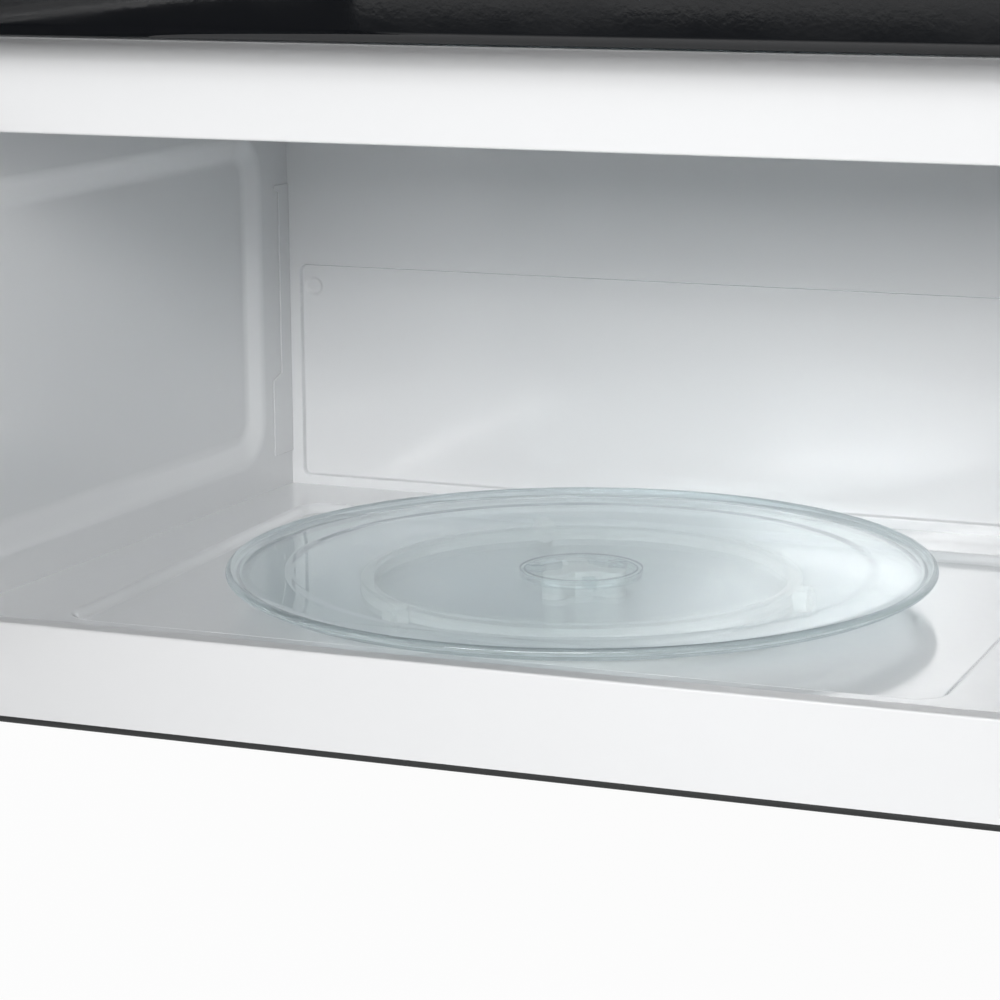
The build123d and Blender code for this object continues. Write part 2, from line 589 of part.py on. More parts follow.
with BuildPart() as cavity_back_wall:
    with BuildSketch(back_plane):
        with Locations((0, (FLOOR_Z + CEILING_Z) / 2)):
            Rectangle(2 * (HALF_BACK + ENAMEL), WALL_HEIGHT + 2 * ENAMEL)
    extrude(amount=ENAMEL)
    add(back_pan_outside)
    add(back_pan_inside, mode=Mode.SUBTRACT)
    # a small round dimple in each upper corner of the pressed panel
    with BuildSketch(back_plane.offset(BACK_PRESS)):
        with Locations((0, BACK_PAN_TOP - DIMPLE_DOWN)):
            with GridLocations(2 * (BACK_PAN_HALF - DIMPLE_IN), 0, 2, 1):
                Circle(DIMPLE_RADIUS)
    extrude(amount=DIMPLE_DEPTH, mode=Mode.SUBTRACT)
cavity_back_wall.part.label = "cavity_back_wall"
export_step(cavity_back_wall.part, "parts/cavity_back_wall.step")

# ================================================================ microwave source

WAVEGUIDE_LENGTH = 150.0
WAVEGUIDE_HEIGHT = 80.0
WAVEGUIDE_DEPTH = 36.0
WAVEGUIDE_SHEET = 1.2
MICA = 0.5
COVER_CORNER = 4.0
GUIDE_SHIFT = 20.0  # the guide's middle nearer the back than the window's
TUBE_RADIUS = 19.0
TUBE_LENGTH = 66.0
ANTENNA_RADIUS = 8.0
ANTENNA_REACH = 24.0
ANTENNA_GAP = 3.0
MAGNETRON_IN = 105.0  # magnetron's axis, along the wall from the back
guide_outer = WALL_PRESS + ENAMEL + WAVEGUIDE_DEPTH

with BuildPart() as waveguide:
    with BuildSketch(right_wall_plane.offset(WALL_PRESS + ENAMEL)):
        with Locations((GUIDE_SHIFT - WAVEGUIDE_IN, WAVEGUIDE_Z)):
            Rectangle(WAVEGUIDE_LENGTH, WAVEGUIDE_HEIGHT)
    extrude(amount=WAVEGUIDE_DEPTH)
    with BuildSketch(right_wall_plane.offset(WALL_PRESS + ENAMEL)):
        with Locations((GUIDE_SHIFT - WAVEGUIDE_IN, WAVEGUIDE_Z)):
            Rectangle(WAVEGUIDE_LENGTH - 2 * WAVEGUIDE_SHEET, WAVEGUIDE_HEIGHT - 2 * WAVEGUIDE_SHEET)
    extrude(amount=WAVEGUIDE_DEPTH - WAVEGUIDE_SHEET, mode=Mode.SUBTRACT)
    with BuildSketch(right_wall_plane.offset(guide_outer - WAVEGUIDE_SHEET)):
        with Locations((-MAGNETRON_IN, WAVEGUIDE_Z)):
            Circle(ANTENNA_RADIUS + ANTENNA_GAP)
    extrude(amount=WAVEGUIDE_SHEET, mode=Mode.SUBTRACT)
waveguide.part.label = "waveguide"
export_step(waveguide.part, "parts/waveguide.step")

with BuildPart() as waveguide_cover:
    with BuildSketch(right_wall_plane.offset(WALL_PRESS - MICA)):
        with Locations((-WAVEGUIDE_IN, WAVEGUIDE_Z)):
            RectangleRounded(WINDOW_WIDTH + 2 * COVER_LAP, WINDOW_HEIGHT + 2 * COVER_LAP, COVER_CORNER)
    extrude(amount=MICA)
waveguide_cover.part.label = "waveguide_cover"
export_step(waveguide_cover.part, "parts/waveguide_cover.step")

with BuildPart() as magnetron_tube:
    with BuildSketch(right_wall_plane.offset(guide_outer)):
        with Locations((-MAGNETRON_IN, WAVEGUIDE_Z)):
            Circle(TUBE_RADIUS)
    extrude(amount=TUBE_LENGTH)
    with BuildSketch(right_wall_plane.offset(guide_outer - ANTENNA_REACH)):
        with Locations((-MAGNETRON_IN, WAVEGUIDE_Z)):
            Circle(ANTENNA_RADIUS)
    extrude(amount=ANTENNA_REACH)
magnetron_tube.part.label = "magnetron_tube"
export_step(magnetron_tube.part, "parts/magnetron_tube.step")

YOKE_WIDTH = 92.0
YOKE_HEIGHT = 74.0
YOKE_SHEET = 2.0
FIN_COUNT = 8
FIN_PITCH = 6.0
FIN_THICKNESS = 0.8
FIN_START = 10.0

with BuildPart() as magnetron_fins:
    for n in range(FIN_COUNT):
        with BuildSketch(right_wall_plane.offset(guide_outer + FIN_START + n * FIN_PITCH)):
            with Locations((-MAGNETRON_IN, WAVEGUIDE_Z)):
                Rectangle(YOKE_WIDTH - 2 * YOKE_SHEET, YOKE_HEIGHT - 2 * YOKE_SHEET)
                Circle(TUBE_RADIUS, mode=Mode.SUBTRACT)
        extrude(amount=FIN_THICKNESS)
magnetron_fins.part.label = "magnetron_fins"
export_step(magnetron_fins.part, "parts/magnetron_fins.step")

with BuildPart() as magnetron_yoke:
    with BuildSketch(right_wall_plane.offset(guide_outer)):
        with Locations((-MAGNETRON_IN, WAVEGUIDE_Z)):
            Rectangle(YOKE_WIDTH, YOKE_HEIGHT)
            Rectangle(YOKE_WIDTH, YOKE_HEIGHT - 2 * YOKE_SHEET, mode=Mode.SUBTRACT)
    extrude(amount=TUBE_LENGTH)
    with BuildSketch(right_wall_plane.offset(guide_outer)):
        with Locations((-MAGNETRON_IN, WAVEGUIDE_Z)):
            Rectangle(YOKE_WIDTH, YOKE_HEIGHT)
            Circle(TUBE_RADIUS, mode=Mode.SUBTRACT)
    extrude(amount=YOKE_SHEET)
magnetron_yoke.part.label = "magnetron_yoke"
export_step(magnetron_yoke.part, "parts/magnetron_yoke.step")

SHELF_TOP = SHELF_Z + CASE_SHEET
CORE_WIDTH = 94.0
CORE_DEPTH = 56.0
CORE_HEIGHT = 78.0
CORE_IN = 70.0  # from the case's right side
CORE_X = RIGHT - CORE_IN
CORE_Y = -215.0
CORE_LIMB = 15.0
COIL_GAP = 0.5
core_window = (CORE_WIDTH - 4 * CORE_LIMB) / 2

with BuildPart() as transformer_core:
    with BuildSketch(front_plane(CORE_Y + CORE_DEPTH / 2)):
        with Locations((CORE_X, SHELF_TOP + CORE_HEIGHT / 2)):
            Rectangle(CORE_WIDTH, CORE_HEIGHT)
            with GridLocations(core_window + 2 * CORE_LIMB, 0, 2, 1):
                Rectangle(core_window, CORE_HEIGHT - 2 * CORE_LIMB, mode=Mode.SUBTRACT)
    extrude(amount=CORE_DEPTH)
transformer_core.part.label = "transformer_core"
export_step(transformer_core.part, "parts/transformer_core.step")

with BuildPart() as transformer_coils:
    coil_height = (CORE_HEIGHT - 2 * CORE_LIMB) / 2 - 2 * COIL_GAP
    coil_width = CORE_WIDTH - 2 * CORE_LIMB - 2 * COIL_GAP
    coil_depth = CORE_DEPTH + 2 * core_window
    for n in (0, 1):
        base = SHELF_TOP + CORE_LIMB + COIL_GAP + n * (coil_height + 2 * COIL_GAP)
        with BuildSketch(level(base)):
            with Locations((CORE_X, CORE_Y)):
                RectangleRounded(coil_width, coil_depth, core_window - 2 * COIL_GAP)
                Rectangle(2 * CORE_LIMB, CORE_DEPTH, mode=Mode.SUBTRACT)
        extrude(amount=coil_height)
transformer_coils.part.label = "transformer_coils"
export_step(transformer_coils.part, "parts/transformer_coils.step")

CAN_LENGTH = 92.0
CAN_WIDTH = 34.0
CAN_HEIGHT = 52.0
CAN_BEHIND = 95.0  # behind the transformer's middle
TERMINAL_SPACING = 36.0
TERMINAL_RADIUS = 6.0
TERMINAL_HEIGHT = 8.0
can_y = CORE_Y + CAN_BEHIND

with BuildPart() as capacitor:
    with BuildSketch(level(SHELF_TOP)):
        with Locations((CORE_X, can_y)):
            SlotOverall(CAN_LENGTH, CAN_WIDTH)
    extrude(amount=CAN_HEIGHT)
    with BuildSketch(level(SHELF_TOP + CAN_HEIGHT)):
        with Locations((CORE_X, can_y)):
            with GridLocations(TERMINAL_SPACING, 0, 2, 1):
                Circle(TERMINAL_RADIUS)
    extrude(amount=TERMINAL_HEIGHT)
capacitor.part.label = "capacitor"
export_step(capacitor.part, "parts/capacitor.step")

FAN_IN = 80.0  # from the case's right side
FAN_X = RIGHT - FAN_IN
FAN_Z = 180.0
FAN_RADIUS = 46.0
SHROUD_SIZE = 116.0
SHROUD_DEPTH = 22.0
SHROUD_BACK = -38.0
SHROUD_CORNER = 6.0
SHROUD_GAP = 2.0  # round the blade tips
FAN_BAR = 4.0
FAN_BAR_WIDTH = 16.0
FAN_BAR_BORE = 1.0
POST_SIZE = 9.0
FAN_MOTOR_RADIUS = 20.0
FAN_MOTOR_LENGTH = 22.0
FAN_SHAFT_RADIUS = 2.5

with BuildPart() as fan_shroud:
    with BuildSketch(front_plane(SHROUD_BACK)):
        with Locations((FAN_X, FAN_Z)):
            RectangleRounded(SHROUD_SIZE, SHROUD_SIZE, SHROUD_CORNER)
            Circle(FAN_RADIUS + SHROUD_GAP, mode=Mode.SUBTRACT)
    extrude(amount=SHROUD_DEPTH)
    # four posts back to the case, and a bar across two of them for the motor
    with BuildSketch(front_plane(INNER_BACK)):
        with Locations((FAN_X, FAN_Z)):
            with GridLocations(SHROUD_SIZE - POST_SIZE, SHROUD_SIZE - POST_SIZE, 2, 2):
                Rectangle(POST_SIZE, POST_SIZE)
    extrude(amount=INNER_BACK - SHROUD_BACK)
    with BuildSketch(front_plane(INNER_BACK - FAN_BAR)):
        with Locations((FAN_X, FAN_Z)):
            Rectangle(SHROUD_SIZE, FAN_BAR_WIDTH)
            Rectangle(POST_SIZE, SHROUD_SIZE)
            Circle(FAN_SHAFT_RADIUS + FAN_BAR_BORE, mode=Mode.SUBTRACT)
        for side in (-1, 1):
            with Locations((FAN_X + side * (SHROUD_SIZE - POST_SIZE) / 2, FAN_Z)):
                Rectangle(POST_SIZE, SHROUD_SIZE)
    extrude(amount=FAN_BAR)
fan_shroud.part.label = "fan_shroud"
export_step(fan_shroud.part, "parts/fan_shroud.step")

with BuildPart() as fan_motor:
    with BuildSketch(front_plane(INNER_BACK - 2 * FAN_BAR)):
        with Locations((FAN_X, FAN_Z)):
            Circle(FAN_MOTOR_RADIUS)
            Circle(FAN_SHAFT_RADIUS + RUNNING, mode=Mode.SUBTRACT)
    extrude(amount=FAN_MOTOR_LENGTH)
fan_motor.part.label = "fan_motor"
export_step(fan_motor.part, "parts/fan_motor.step")

FAN_HUB_RADIUS = 12.0
FAN_HUB_LENGTH = 12.0
FAN_BLADES = 7
FAN_HUB_GAP = 1.0
FAN_CHORD = 20.0
FAN_BLADE_SHEET = 1.5
FAN_TILT = 28.0
BLADE_ROOT = 1.5  # how far a blade reaches into the hub
BLADE_TIP = 0.8  # blade tip inside the fan's radius
fan_hub_back = INNER_BACK - 2 * FAN_BAR - FAN_MOTOR_LENGTH - FAN_HUB_GAP
fan_plane = Plane(origin=(FAN_X, fan_hub_back, FAN_Z), x_dir=(1, 0, 0), z_dir=(0, -1, 0))

with BuildPart() as fan_blade:
    with BuildSketch(fan_plane):
        Circle(FAN_HUB_RADIUS)
    extrude(amount=FAN_HUB_LENGTH)
    with BuildSketch(fan_plane):
        Circle(FAN_SHAFT_RADIUS)
    extrude(amount=-FAN_MOTOR_LENGTH)
    blade_span = FAN_RADIUS - FAN_HUB_RADIUS + BLADE_ROOT
    with Locations(fan_plane.offset(FAN_HUB_LENGTH / 2)):
        with PolarLocations(FAN_RADIUS - blade_span / 2 - BLADE_TIP, FAN_BLADES):
            Box(blade_span, FAN_CHORD, FAN_BLADE_SHEET, rotation=(FAN_TILT, 0, 0))
fan_blade.part.label = "fan_blade"
export_step(fan_blade.part, "parts/fan_blade.step")

# ================================================================ turntable

EAR_REACH = 11.0  # motor ears past its body
MOTOR_EAR_WIDTH = 14.0
EAR_SCREW_OUT = 5.0
EAR_SCREW_RADIUS = 2.2
motor_top = PRESSED_FLOOR_Z - ENAMEL

with BuildPart() as turntable_motor:
    with BuildSketch(level(motor_top - MOTOR_HEIGHT)):
        with Locations((CAVITY_X, TRAY_Y)):
            Circle(MOTOR_RADIUS)
    extrude(amount=MOTOR_HEIGHT)
    # two ears that screw up to the cavity floor
    with BuildSketch(level(motor_top - PLATE_SHEET)):
        with Locations((CAVITY_X, TRAY_Y)):
            SlotOverall(2 * (MOTOR_RADIUS + EAR_REACH), MOTOR_EAR_WIDTH)
            with GridLocations(2 * (MOTOR_RADIUS + EAR_SCREW_OUT), 0, 2, 1):
                Circle(EAR_SCREW_RADIUS, mode=Mode.SUBTRACT)
    extrude(amount=PLATE_SHEET)
    with BuildSketch(level(motor_top - MOTOR_HEIGHT + PLATE_SHEET)):
        with Locations((CAVITY_X, TRAY_Y)):
            Circle(SHAFT_RADIUS + RUNNING)
    extrude(amount=MOTOR_HEIGHT, mode=Mode.SUBTRACT)
turntable_motor.part.label = "turntable_motor"
export_step(turntable_motor.part, "parts/turntable_motor.step")

coupler_bottom = PRESSED_FLOOR_Z + FIT

with BuildPart() as drive_coupler:
    with BuildSketch(level(coupler_bottom)):
        with Locations((CAVITY_X, TRAY_Y)):
            Circle(COUPLER_RADIUS)
            with PolarLocations(LOBE_REACH, 3):
                Circle(LOBE_RADIUS)
            with PolarLocations(LOBE_REACH / 2, 3):
                Rectangle(LOBE_REACH, LOBE_NECK)
    extrude(amount=TRAY_Z - FIT - coupler_bottom)
    fillet(drive_coupler.edges().group_by(Axis.Z)[-1], COUPLER_ROUND)
    # its steel shaft, down into the motor
    with BuildSketch(level(motor_top - MOTOR_HEIGHT + PLATE_SHEET + FIT)):
        with Locations((CAVITY_X, TRAY_Y)):
            Circle(SHAFT_RADIUS)
    extrude(amount=coupler_bottom - motor_top + MOTOR_HEIGHT - PLATE_SHEET - FIT)
drive_coupler.part.label = "drive_coupler"
export_step(drive_coupler.part, "parts/drive_coupler.step")

RING_GAP = 1.5  # from the ring to a roller
CAP_GAP = 0.4  # from a roller to its cap
AXLE_ROOT = 1.0  # how far an axle starts inside the ring
ring_outer = TRACK_RADIUS - ROLLER_WIDTH / 2 - RING_GAP
cap_inner = TRACK_RADIUS + ROLLER_WIDTH / 2 + CAP_GAP
RING_HEIGHT = 5.0
CAP_LENGTH = 1.6
CAP_RADIUS = 3.2
ring_plane = Plane(origin=(CAVITY_X, TRAY_Y, ROLLER_Z))
spokes = [
    Plane(origin=ring_plane.origin, x_dir=(0, 0, 1), z_dir=Vector(1, 0, 0).rotate(Axis.Z, 120 * n))
    for n in range(3)
]

with BuildPart() as roller_ring:
    with BuildSketch(ring_plane.offset(-RING_HEIGHT / 2)):
        Circle(ring_outer)
        Circle(ring_outer - RING_WIDTH, mode=Mode.SUBTRACT)
    extrude(amount=RING_HEIGHT)
    for spoke in spokes:
        with BuildSketch(spoke.offset(ring_outer - AXLE_ROOT)):
            Circle(AXLE_RADIUS - RUNNING)
        extrude(amount=cap_inner - ring_outer + AXLE_ROOT)
        with BuildSketch(spoke.offset(cap_inner)):
            Circle(CAP_RADIUS)
        extrude(amount=CAP_LENGTH)
roller_ring.part.label = "roller_ring"
export_step(roller_ring.part, "parts/roller_ring.step")

for n, spoke in enumerate(spokes):
    with BuildPart() as roller:
        with BuildSketch(spoke.offset(TRACK_RADIUS - ROLLER_WIDTH / 2)):
            Circle(ROLLER_RADIUS)
            Circle(AXLE_RADIUS, mode=Mode.SUBTRACT)
        extrude(amount=ROLLER_WIDTH)
    roller.part.label = f"roller_{n + 1}"
    export_step(roller.part, f"parts/roller_{n + 1}.step")

tray_section = Plane(origin=(CAVITY_X, TRAY_Y, TRAY_Z), x_dir=(1, 0, 0), z_dir=(0, -1, 0))
RIM_WIDTH = 7.0
RIM_SLOPE = 8.0
BASE_STEP = 0.6
BASE_EDGE_RADIUS = 132.0
HUB_RING_DEPTH = 4.0
RIM_EDGE = 2.4  # from the top of the rim down to where it starts to taper
RIM_CHAMFER = 0.8
RIM_START = 1.0
STEP_HALF = 1.5
KEY_LENGTH = 9.0
KEY_WIDTH = 6.0
KEY_IN = 2.5

with BuildPart() as glass_tray:
    with BuildSketch(tray_section):
        with BuildLine():
            rim_inner = TRAY_RADIUS - RIM_WIDTH
            Polyline(
                (0, 0),
                (TRAY_BASE_RADIUS, 0),
                (TRAY_RADIUS, TRAY_HEIGHT - RIM_EDGE),
                (TRAY_RADIUS, TRAY_HEIGHT - RIM_CHAMFER),
                (TRAY_RADIUS - RIM_CHAMFER, TRAY_HEIGHT),
                (rim_inner + RIM_START, TRAY_HEIGHT),
                (rim_inner - RIM_SLOPE, TRAY_GLASS + BASE_STEP),
                (BASE_EDGE_RADIUS + STEP_HALF, TRAY_GLASS + BASE_STEP),
                (BASE_EDGE_RADIUS - STEP_HALF, TRAY_GLASS),
                (0, TRAY_GLASS),
                close=True,
            )
        make_face()
    revolve(axis=Axis((CAVITY_X, TRAY_Y, 0), (0, 0, 1)))
    # the hub ring underneath, with three keys that sit between the coupler's lobes
    with BuildSketch(level(TRAY_Z - HUB_RING_DEPTH)):
        with Locations((CAVITY_X, TRAY_Y)):
            Circle(HUB_RING_RADIUS + HUB_RING_WALL)
            Circle(HUB_RING_RADIUS, mode=Mode.SUBTRACT)
            with PolarLocations(HUB_RING_RADIUS - KEY_IN, 3, start_angle=60):
                Rectangle(KEY_LENGTH, KEY_WIDTH)
    extrude(amount=HUB_RING_DEPTH)
glass_tray.part.label = "glass_tray"
export_step(glass_tray.part, "parts/glass_tray.step")

# ================================================================ hood

blower_side = Plane(origin=(0, BLOWER_Y, BLOWER_Z), x_dir=(0, 1, 0), z_dir=(1, 0, 0))
scroll_half = DUCT_WIDTH / 2
outlet_y = DUCT_Y - BLOWER_Y
outlet_top = INNER_TOP - BLOWER_Z
BLADE_DEPTH = 10.0
INLET_RADIUS = BLOWER_WHEEL_RADIUS - BLADE_DEPTH

with BuildPart() as blower_housing:
    for grow, length, mode in (
        (SCROLL_SHEET, scroll_half, Mode.ADD),
        (0, scroll_half - SCROLL_SHEET, Mode.SUBTRACT),
    ):
        with BuildSketch(blower_side):
            Circle(SCROLL_RADIUS + grow)
            with Locations((outlet_y, outlet_top / 2)):
                Rectangle(DUCT_DEPTH - 2 * SCROLL_SHEET + 2 * grow, outlet_top)
        extrude(amount=length, both=True, mode=mode)
    for side in (-1, 1):
        with BuildSketch(blower_side.offset(side * scroll_half)):
            Circle(INLET_RADIUS)
        extrude(amount=-side * SCROLL_SHEET, mode=Mode.SUBTRACT)
blower_housing.part.label = "blower_housing"
export_step(blower_housing.part, "parts/blower_housing.step")

ARM_WIDTH = 14.0
ARM_THICKNESS = 6.0

with BuildPart() as blower_motor:
    with BuildSketch(blower_side):
        Circle(BLOWER_MOTOR_RADIUS)
    extrude(amount=BLOWER_MOTOR_LENGTH / 2, both=True)
    with BuildSketch(blower_side):
        Circle(SCROLL_RADIUS)
        with Locations((0, SCROLL_RADIUS)):
            Rectangle(2 * SCROLL_RADIUS, 2 * SCROLL_RADIUS, mode=Mode.SUBTRACT)
        with Locations((-SCROLL_RADIUS, -SCROLL_RADIUS / 2), (SCROLL_RADIUS, -SCROLL_RADIUS / 2)):
            Rectangle(2 * SCROLL_RADIUS - ARM_WIDTH, 2 * SCROLL_RADIUS, mode=Mode.SUBTRACT)
    extrude(amount=ARM_THICKNESS, both=True)
    with BuildSketch(blower_side):
        Circle(BLOWER_SHAFT_RADIUS + RUNNING)
    extrude(amount=BLOWER_MOTOR_LENGTH, both=True, mode=Mode.SUBTRACT)
blower_motor.part.label = "blower_motor"
export_step(blower_motor.part, "parts/blower_motor.step")

WHEEL_BLADES = 24
BLADE_SHEET = 1.2
WHEEL_HUB_RADIUS = 10.0
WHEEL_HUB_LENGTH = 14.0
WHEEL_DISC = 2.0
WHEEL_RIM = 3.0
WHEEL_RIM_IN = 6.0
BLADE_TILT = 25.0
BLADE_INSET = 1.0
MOTOR_TO_WHEEL = 5.0
wheel_start = BLOWER_MOTOR_LENGTH / 2 + MOTOR_TO_WHEEL

with BuildPart() as blower_wheels:
    with BuildSketch(blower_side):
        Circle(BLOWER_SHAFT_RADIUS)
    extrude(amount=wheel_start + WHEEL_HUB_LENGTH, both=True)
    for side in (-1, 1):
        with BuildSketch(blower_side.offset(side * wheel_start)):
            Circle(BLOWER_WHEEL_RADIUS)
        extrude(amount=side * WHEEL_DISC)
        with BuildSketch(blower_side.offset(side * wheel_start)):
            Circle(WHEEL_HUB_RADIUS)
        extrude(amount=side * WHEEL_HUB_LENGTH)
        with BuildSketch(blower_side.offset(side * wheel_start)):
            with PolarLocations(BLOWER_WHEEL_RADIUS - BLADE_DEPTH / 2, WHEEL_BLADES):
                Rectangle(BLADE_DEPTH - BLADE_INSET, BLADE_SHEET, rotation=BLADE_TILT)
        extrude(amount=side * BLOWER_WHEEL_LENGTH)
        with BuildSketch(blower_side.offset(side * (wheel_start + BLOWER_WHEEL_LENGTH - WHEEL_RIM))):
            Circle(BLOWER_WHEEL_RADIUS)
            Circle(BLOWER_WHEEL_RADIUS - WHEEL_RIM_IN, mode=Mode.SUBTRACT)
        extrude(amount=side * WHEEL_RIM)
blower_wheels.part.label = "blower_wheels"
export_step(blower_wheels.part, "parts/blower_wheels.step")

COLLAR_GAP = 1.5  # each side, between the collar and the house duct
collar_width = DUCT_WIDTH - 2 * COLLAR_GAP
collar_depth = DUCT_DEPTH - 2 * COLLAR_GAP
FLANGE = 10.0
FLAP_UP = 8.0
FLAP_IN = 4.0
flap_z = HEIGHT + COLLAR_SHEET + FLAP_UP
flap_y = DUCT_Y + collar_depth / 2 - COLLAR_SHEET - FLAP_IN
LEDGE = 3.0
FLAP_SIDE_GAP = 1.0

with BuildPart() as exhaust_adaptor:
    with BuildSketch(level(HEIGHT)):
        with Locations((0, DUCT_Y)):
            Rectangle(DUCT_WIDTH + 2 * FLANGE, DUCT_DEPTH + 2 * FLANGE)
            Rectangle(collar_width - 2 * COLLAR_SHEET, collar_depth - 2 * COLLAR_SHEET, mode=Mode.SUBTRACT)
    extrude(amount=COLLAR_SHEET)
    with BuildSketch(level(HEIGHT)):
        with Locations((0, DUCT_Y)):
            Rectangle(collar_width, collar_depth)
            Rectangle(collar_width - 2 * COLLAR_SHEET, collar_depth - 2 * COLLAR_SHEET, mode=Mode.SUBTRACT)
    extrude(amount=COLLAR_SHEET + COLLAR_HEIGHT)
    # the ledge that the flap closes on
    with BuildSketch(level(flap_z - FLAP_SHEET / 2 - FIT - COLLAR_SHEET)):
        with Locations((0, DUCT_Y - collar_depth / 2 + COLLAR_SHEET + LEDGE / 2)):
            Rectangle(collar_width - COLLAR_SHEET, LEDGE)
    extrude(amount=COLLAR_SHEET)
    with BuildSketch(Plane.YZ):
        with Locations((flap_y, flap_z)):
            Circle(FLAP_PIN_RADIUS + RUNNING)
    extrude(amount=collar_width, both=True, mode=Mode.SUBTRACT)
exhaust_adaptor.part.label = "exhaust_adaptor"
export_step(exhaust_adaptor.part, "parts/exhaust_adaptor.step")

with BuildPart() as damper_flap:
    flap_front = DUCT_Y - collar_depth / 2 + COLLAR_SHEET + FIT
    with BuildSketch(level(flap_z - FLAP_SHEET / 2)):
        with Locations((0, (flap_front + flap_y) / 2)):
            Rectangle(collar_width - 2 * COLLAR_SHEET - 2 * FLAP_SIDE_GAP, flap_y - flap_front)
    extrude(amount=FLAP_SHEET)
    with BuildSketch(Plane.YZ):
        with Locations((flap_y, flap_z)):
            Circle(FLAP_PIN_RADIUS)
    extrude(amount=collar_width / 2, both=True)
damper_flap.part.label = "damper_flap"
export_step(damper_flap.part, "parts/damper_flap.step")

FILTER_RIM = 6.0
FILTER_MESH = 2.0
FILTER_CORNER = 3.0
filter_z = PAN_SHEET + FILTER_RISE + FIT

for side, filter_name in ((-1, "grease_filter_left"), (1, "grease_filter_right")):
    with BuildPart() as grease_filter:
        with BuildSketch(level(filter_z)):
            with Locations((side * FILTER_X, FILTER_Y)):
                RectangleRounded(FILTER_WIDTH, FILTER_DEPTH, FILTER_CORNER)
        extrude(amount=FILTER_THICKNESS)
        pocket = (FILTER_THICKNESS - FILTER_MESH) / 2
        for z in (filter_z, filter_z + FILTER_THICKNESS - pocket):
            with BuildSketch(level(z)):
                with Locations((side * FILTER_X, FILTER_Y)):
                    Rectangle(FILTER_WIDTH - 2 * FILTER_RIM, FILTER_DEPTH - 2 * FILTER_RIM)
            extrude(amount=pocket, mode=Mode.SUBTRACT)
    grease_filter.part.label = filter_name
    export_step(grease_filter.part, f"parts/{filter_name}.step")

GRILLE_ROUND = 2.5
GRILLE_FOOT_ROUND = 6.0  # along the front face's lower edge
SLOT_COLUMNS = 6
SLOT_PITCH = 14.0
SLOT_HEIGHT = 7.0
SLOT_GAP = 12.0
GRILLE_MARGIN = 30.0
SLOT_TOP_MARGIN = 12.0
SLOT_FOOT_MARGIN = 40.0
slots_height = HEIGHT - GRILLE_Z - SLOT_TOP_MARGIN - SLOT_FOOT_MARGIN
slot_rows = int((slots_height - SLOT_HEIGHT) / SLOT_PITCH) + 1

with BuildPart() as vent_grille:
    with BuildSketch(front_plane(FRAME_Y)):
        with Locations((0, (GRILLE_Z + HEIGHT) / 2)):
            Rectangle(WIDTH, HEIGHT - GRILLE_Z)
    extrude(amount=FRONT_DEPTH)
    foot_edge = vent_grille.faces().sort_by(Axis.Y)[0].edges().sort_by(Axis.Z)[0]
    fillet(foot_edge, GRILLE_FOOT_ROUND)
    face_edges = vent_grille.faces().sort_by(Axis.Y)[0].edges().sort_by(Axis.Z)
    fillet(face_edges[1:], GRILLE_ROUND)
    with BuildSketch(front_plane(FRAME_Y)):
        with Locations((0, (GRILLE_Z + HEIGHT) / 2)):
            Rectangle(WIDTH - 2 * MOULDING, HEIGHT - GRILLE_Z - 2 * MOULDING)
    extrude(amount=FRONT_DEPTH - MOULDING, mode=Mode.SUBTRACT)
    slot_pitch_x = (WIDTH - 2 * GRILLE_MARGIN + SLOT_GAP) / SLOT_COLUMNS
    slots_mid = HEIGHT - SLOT_TOP_MARGIN - SLOT_HEIGHT / 2 - (slot_rows - 1) * SLOT_PITCH / 2
    with BuildSketch(front_plane(FRONT_Y + MOULDING)):
        with Locations((0, slots_mid)):
            with GridLocations(slot_pitch_x, SLOT_PITCH, SLOT_COLUMNS, slot_rows):
                SlotOverall(slot_pitch_x - SLOT_GAP, SLOT_HEIGHT)
    extrude(amount=MOULDING, mode=Mode.SUBTRACT)
    with BuildSketch(level(HEIGHT - MOULDING)):
        with Locations((0, FRAME_Y - TAB_LENGTH / 2)):
            with GridLocations(SCREW_SPACING, 0, 3, 1):
                Circle(SCREW_RADIUS)
    extrude(amount=MOULDING, mode=Mode.SUBTRACT)
vent_grille.part.label = "vent_grille"
export_step(vent_grille.part, "parts/vent_grille.step")

CHARCOAL_WIDTH = 300.0
CHARCOAL_HEADROOM = 12.0  # for the tabs and screws above it
CHARCOAL_HEIGHT = HEIGHT - GRILLE_Z - 2 * MOULDING - CHARCOAL_HEADROOM
CHARCOAL_DEPTH = 12.0
CHARCOAL_RIM = 5.0
CHARCOAL_INSET = 2.0
CHARCOAL_FORWARD = 5.0

charcoal_plane_z = GRILLE_Z + MOULDING + CHARCOAL_HEIGHT / 2

with BuildPart() as charcoal_filter:
    with BuildSketch(front_plane(FRAME_Y - CHARCOAL_FORWARD)):
        with Locations((0, charcoal_plane_z)):
            Rectangle(CHARCOAL_WIDTH, CHARCOAL_HEIGHT)
    extrude(amount=CHARCOAL_DEPTH)
    for y, direction in (
        (FRAME_Y - CHARCOAL_FORWARD, 1),
        (FRAME_Y - CHARCOAL_FORWARD - CHARCOAL_DEPTH, -1),
    ):
        with BuildSketch(front_plane(y)):
            with Locations((0, charcoal_plane_z)):
                Rectangle(CHARCOAL_WIDTH - 2 * CHARCOAL_RIM, CHARCOAL_HEIGHT - 2 * CHARCOAL_RIM)
        extrude(amount=direction * CHARCOAL_INSET, mode=Mode.SUBTRACT)
charcoal_filter.part.label = "charcoal_filter"
export_step(charcoal_filter.part, "parts/charcoal_filter.step")

LENS_SHEET = 2.0
LENS_SHY = 0.2
LENS_GAP = 0.5

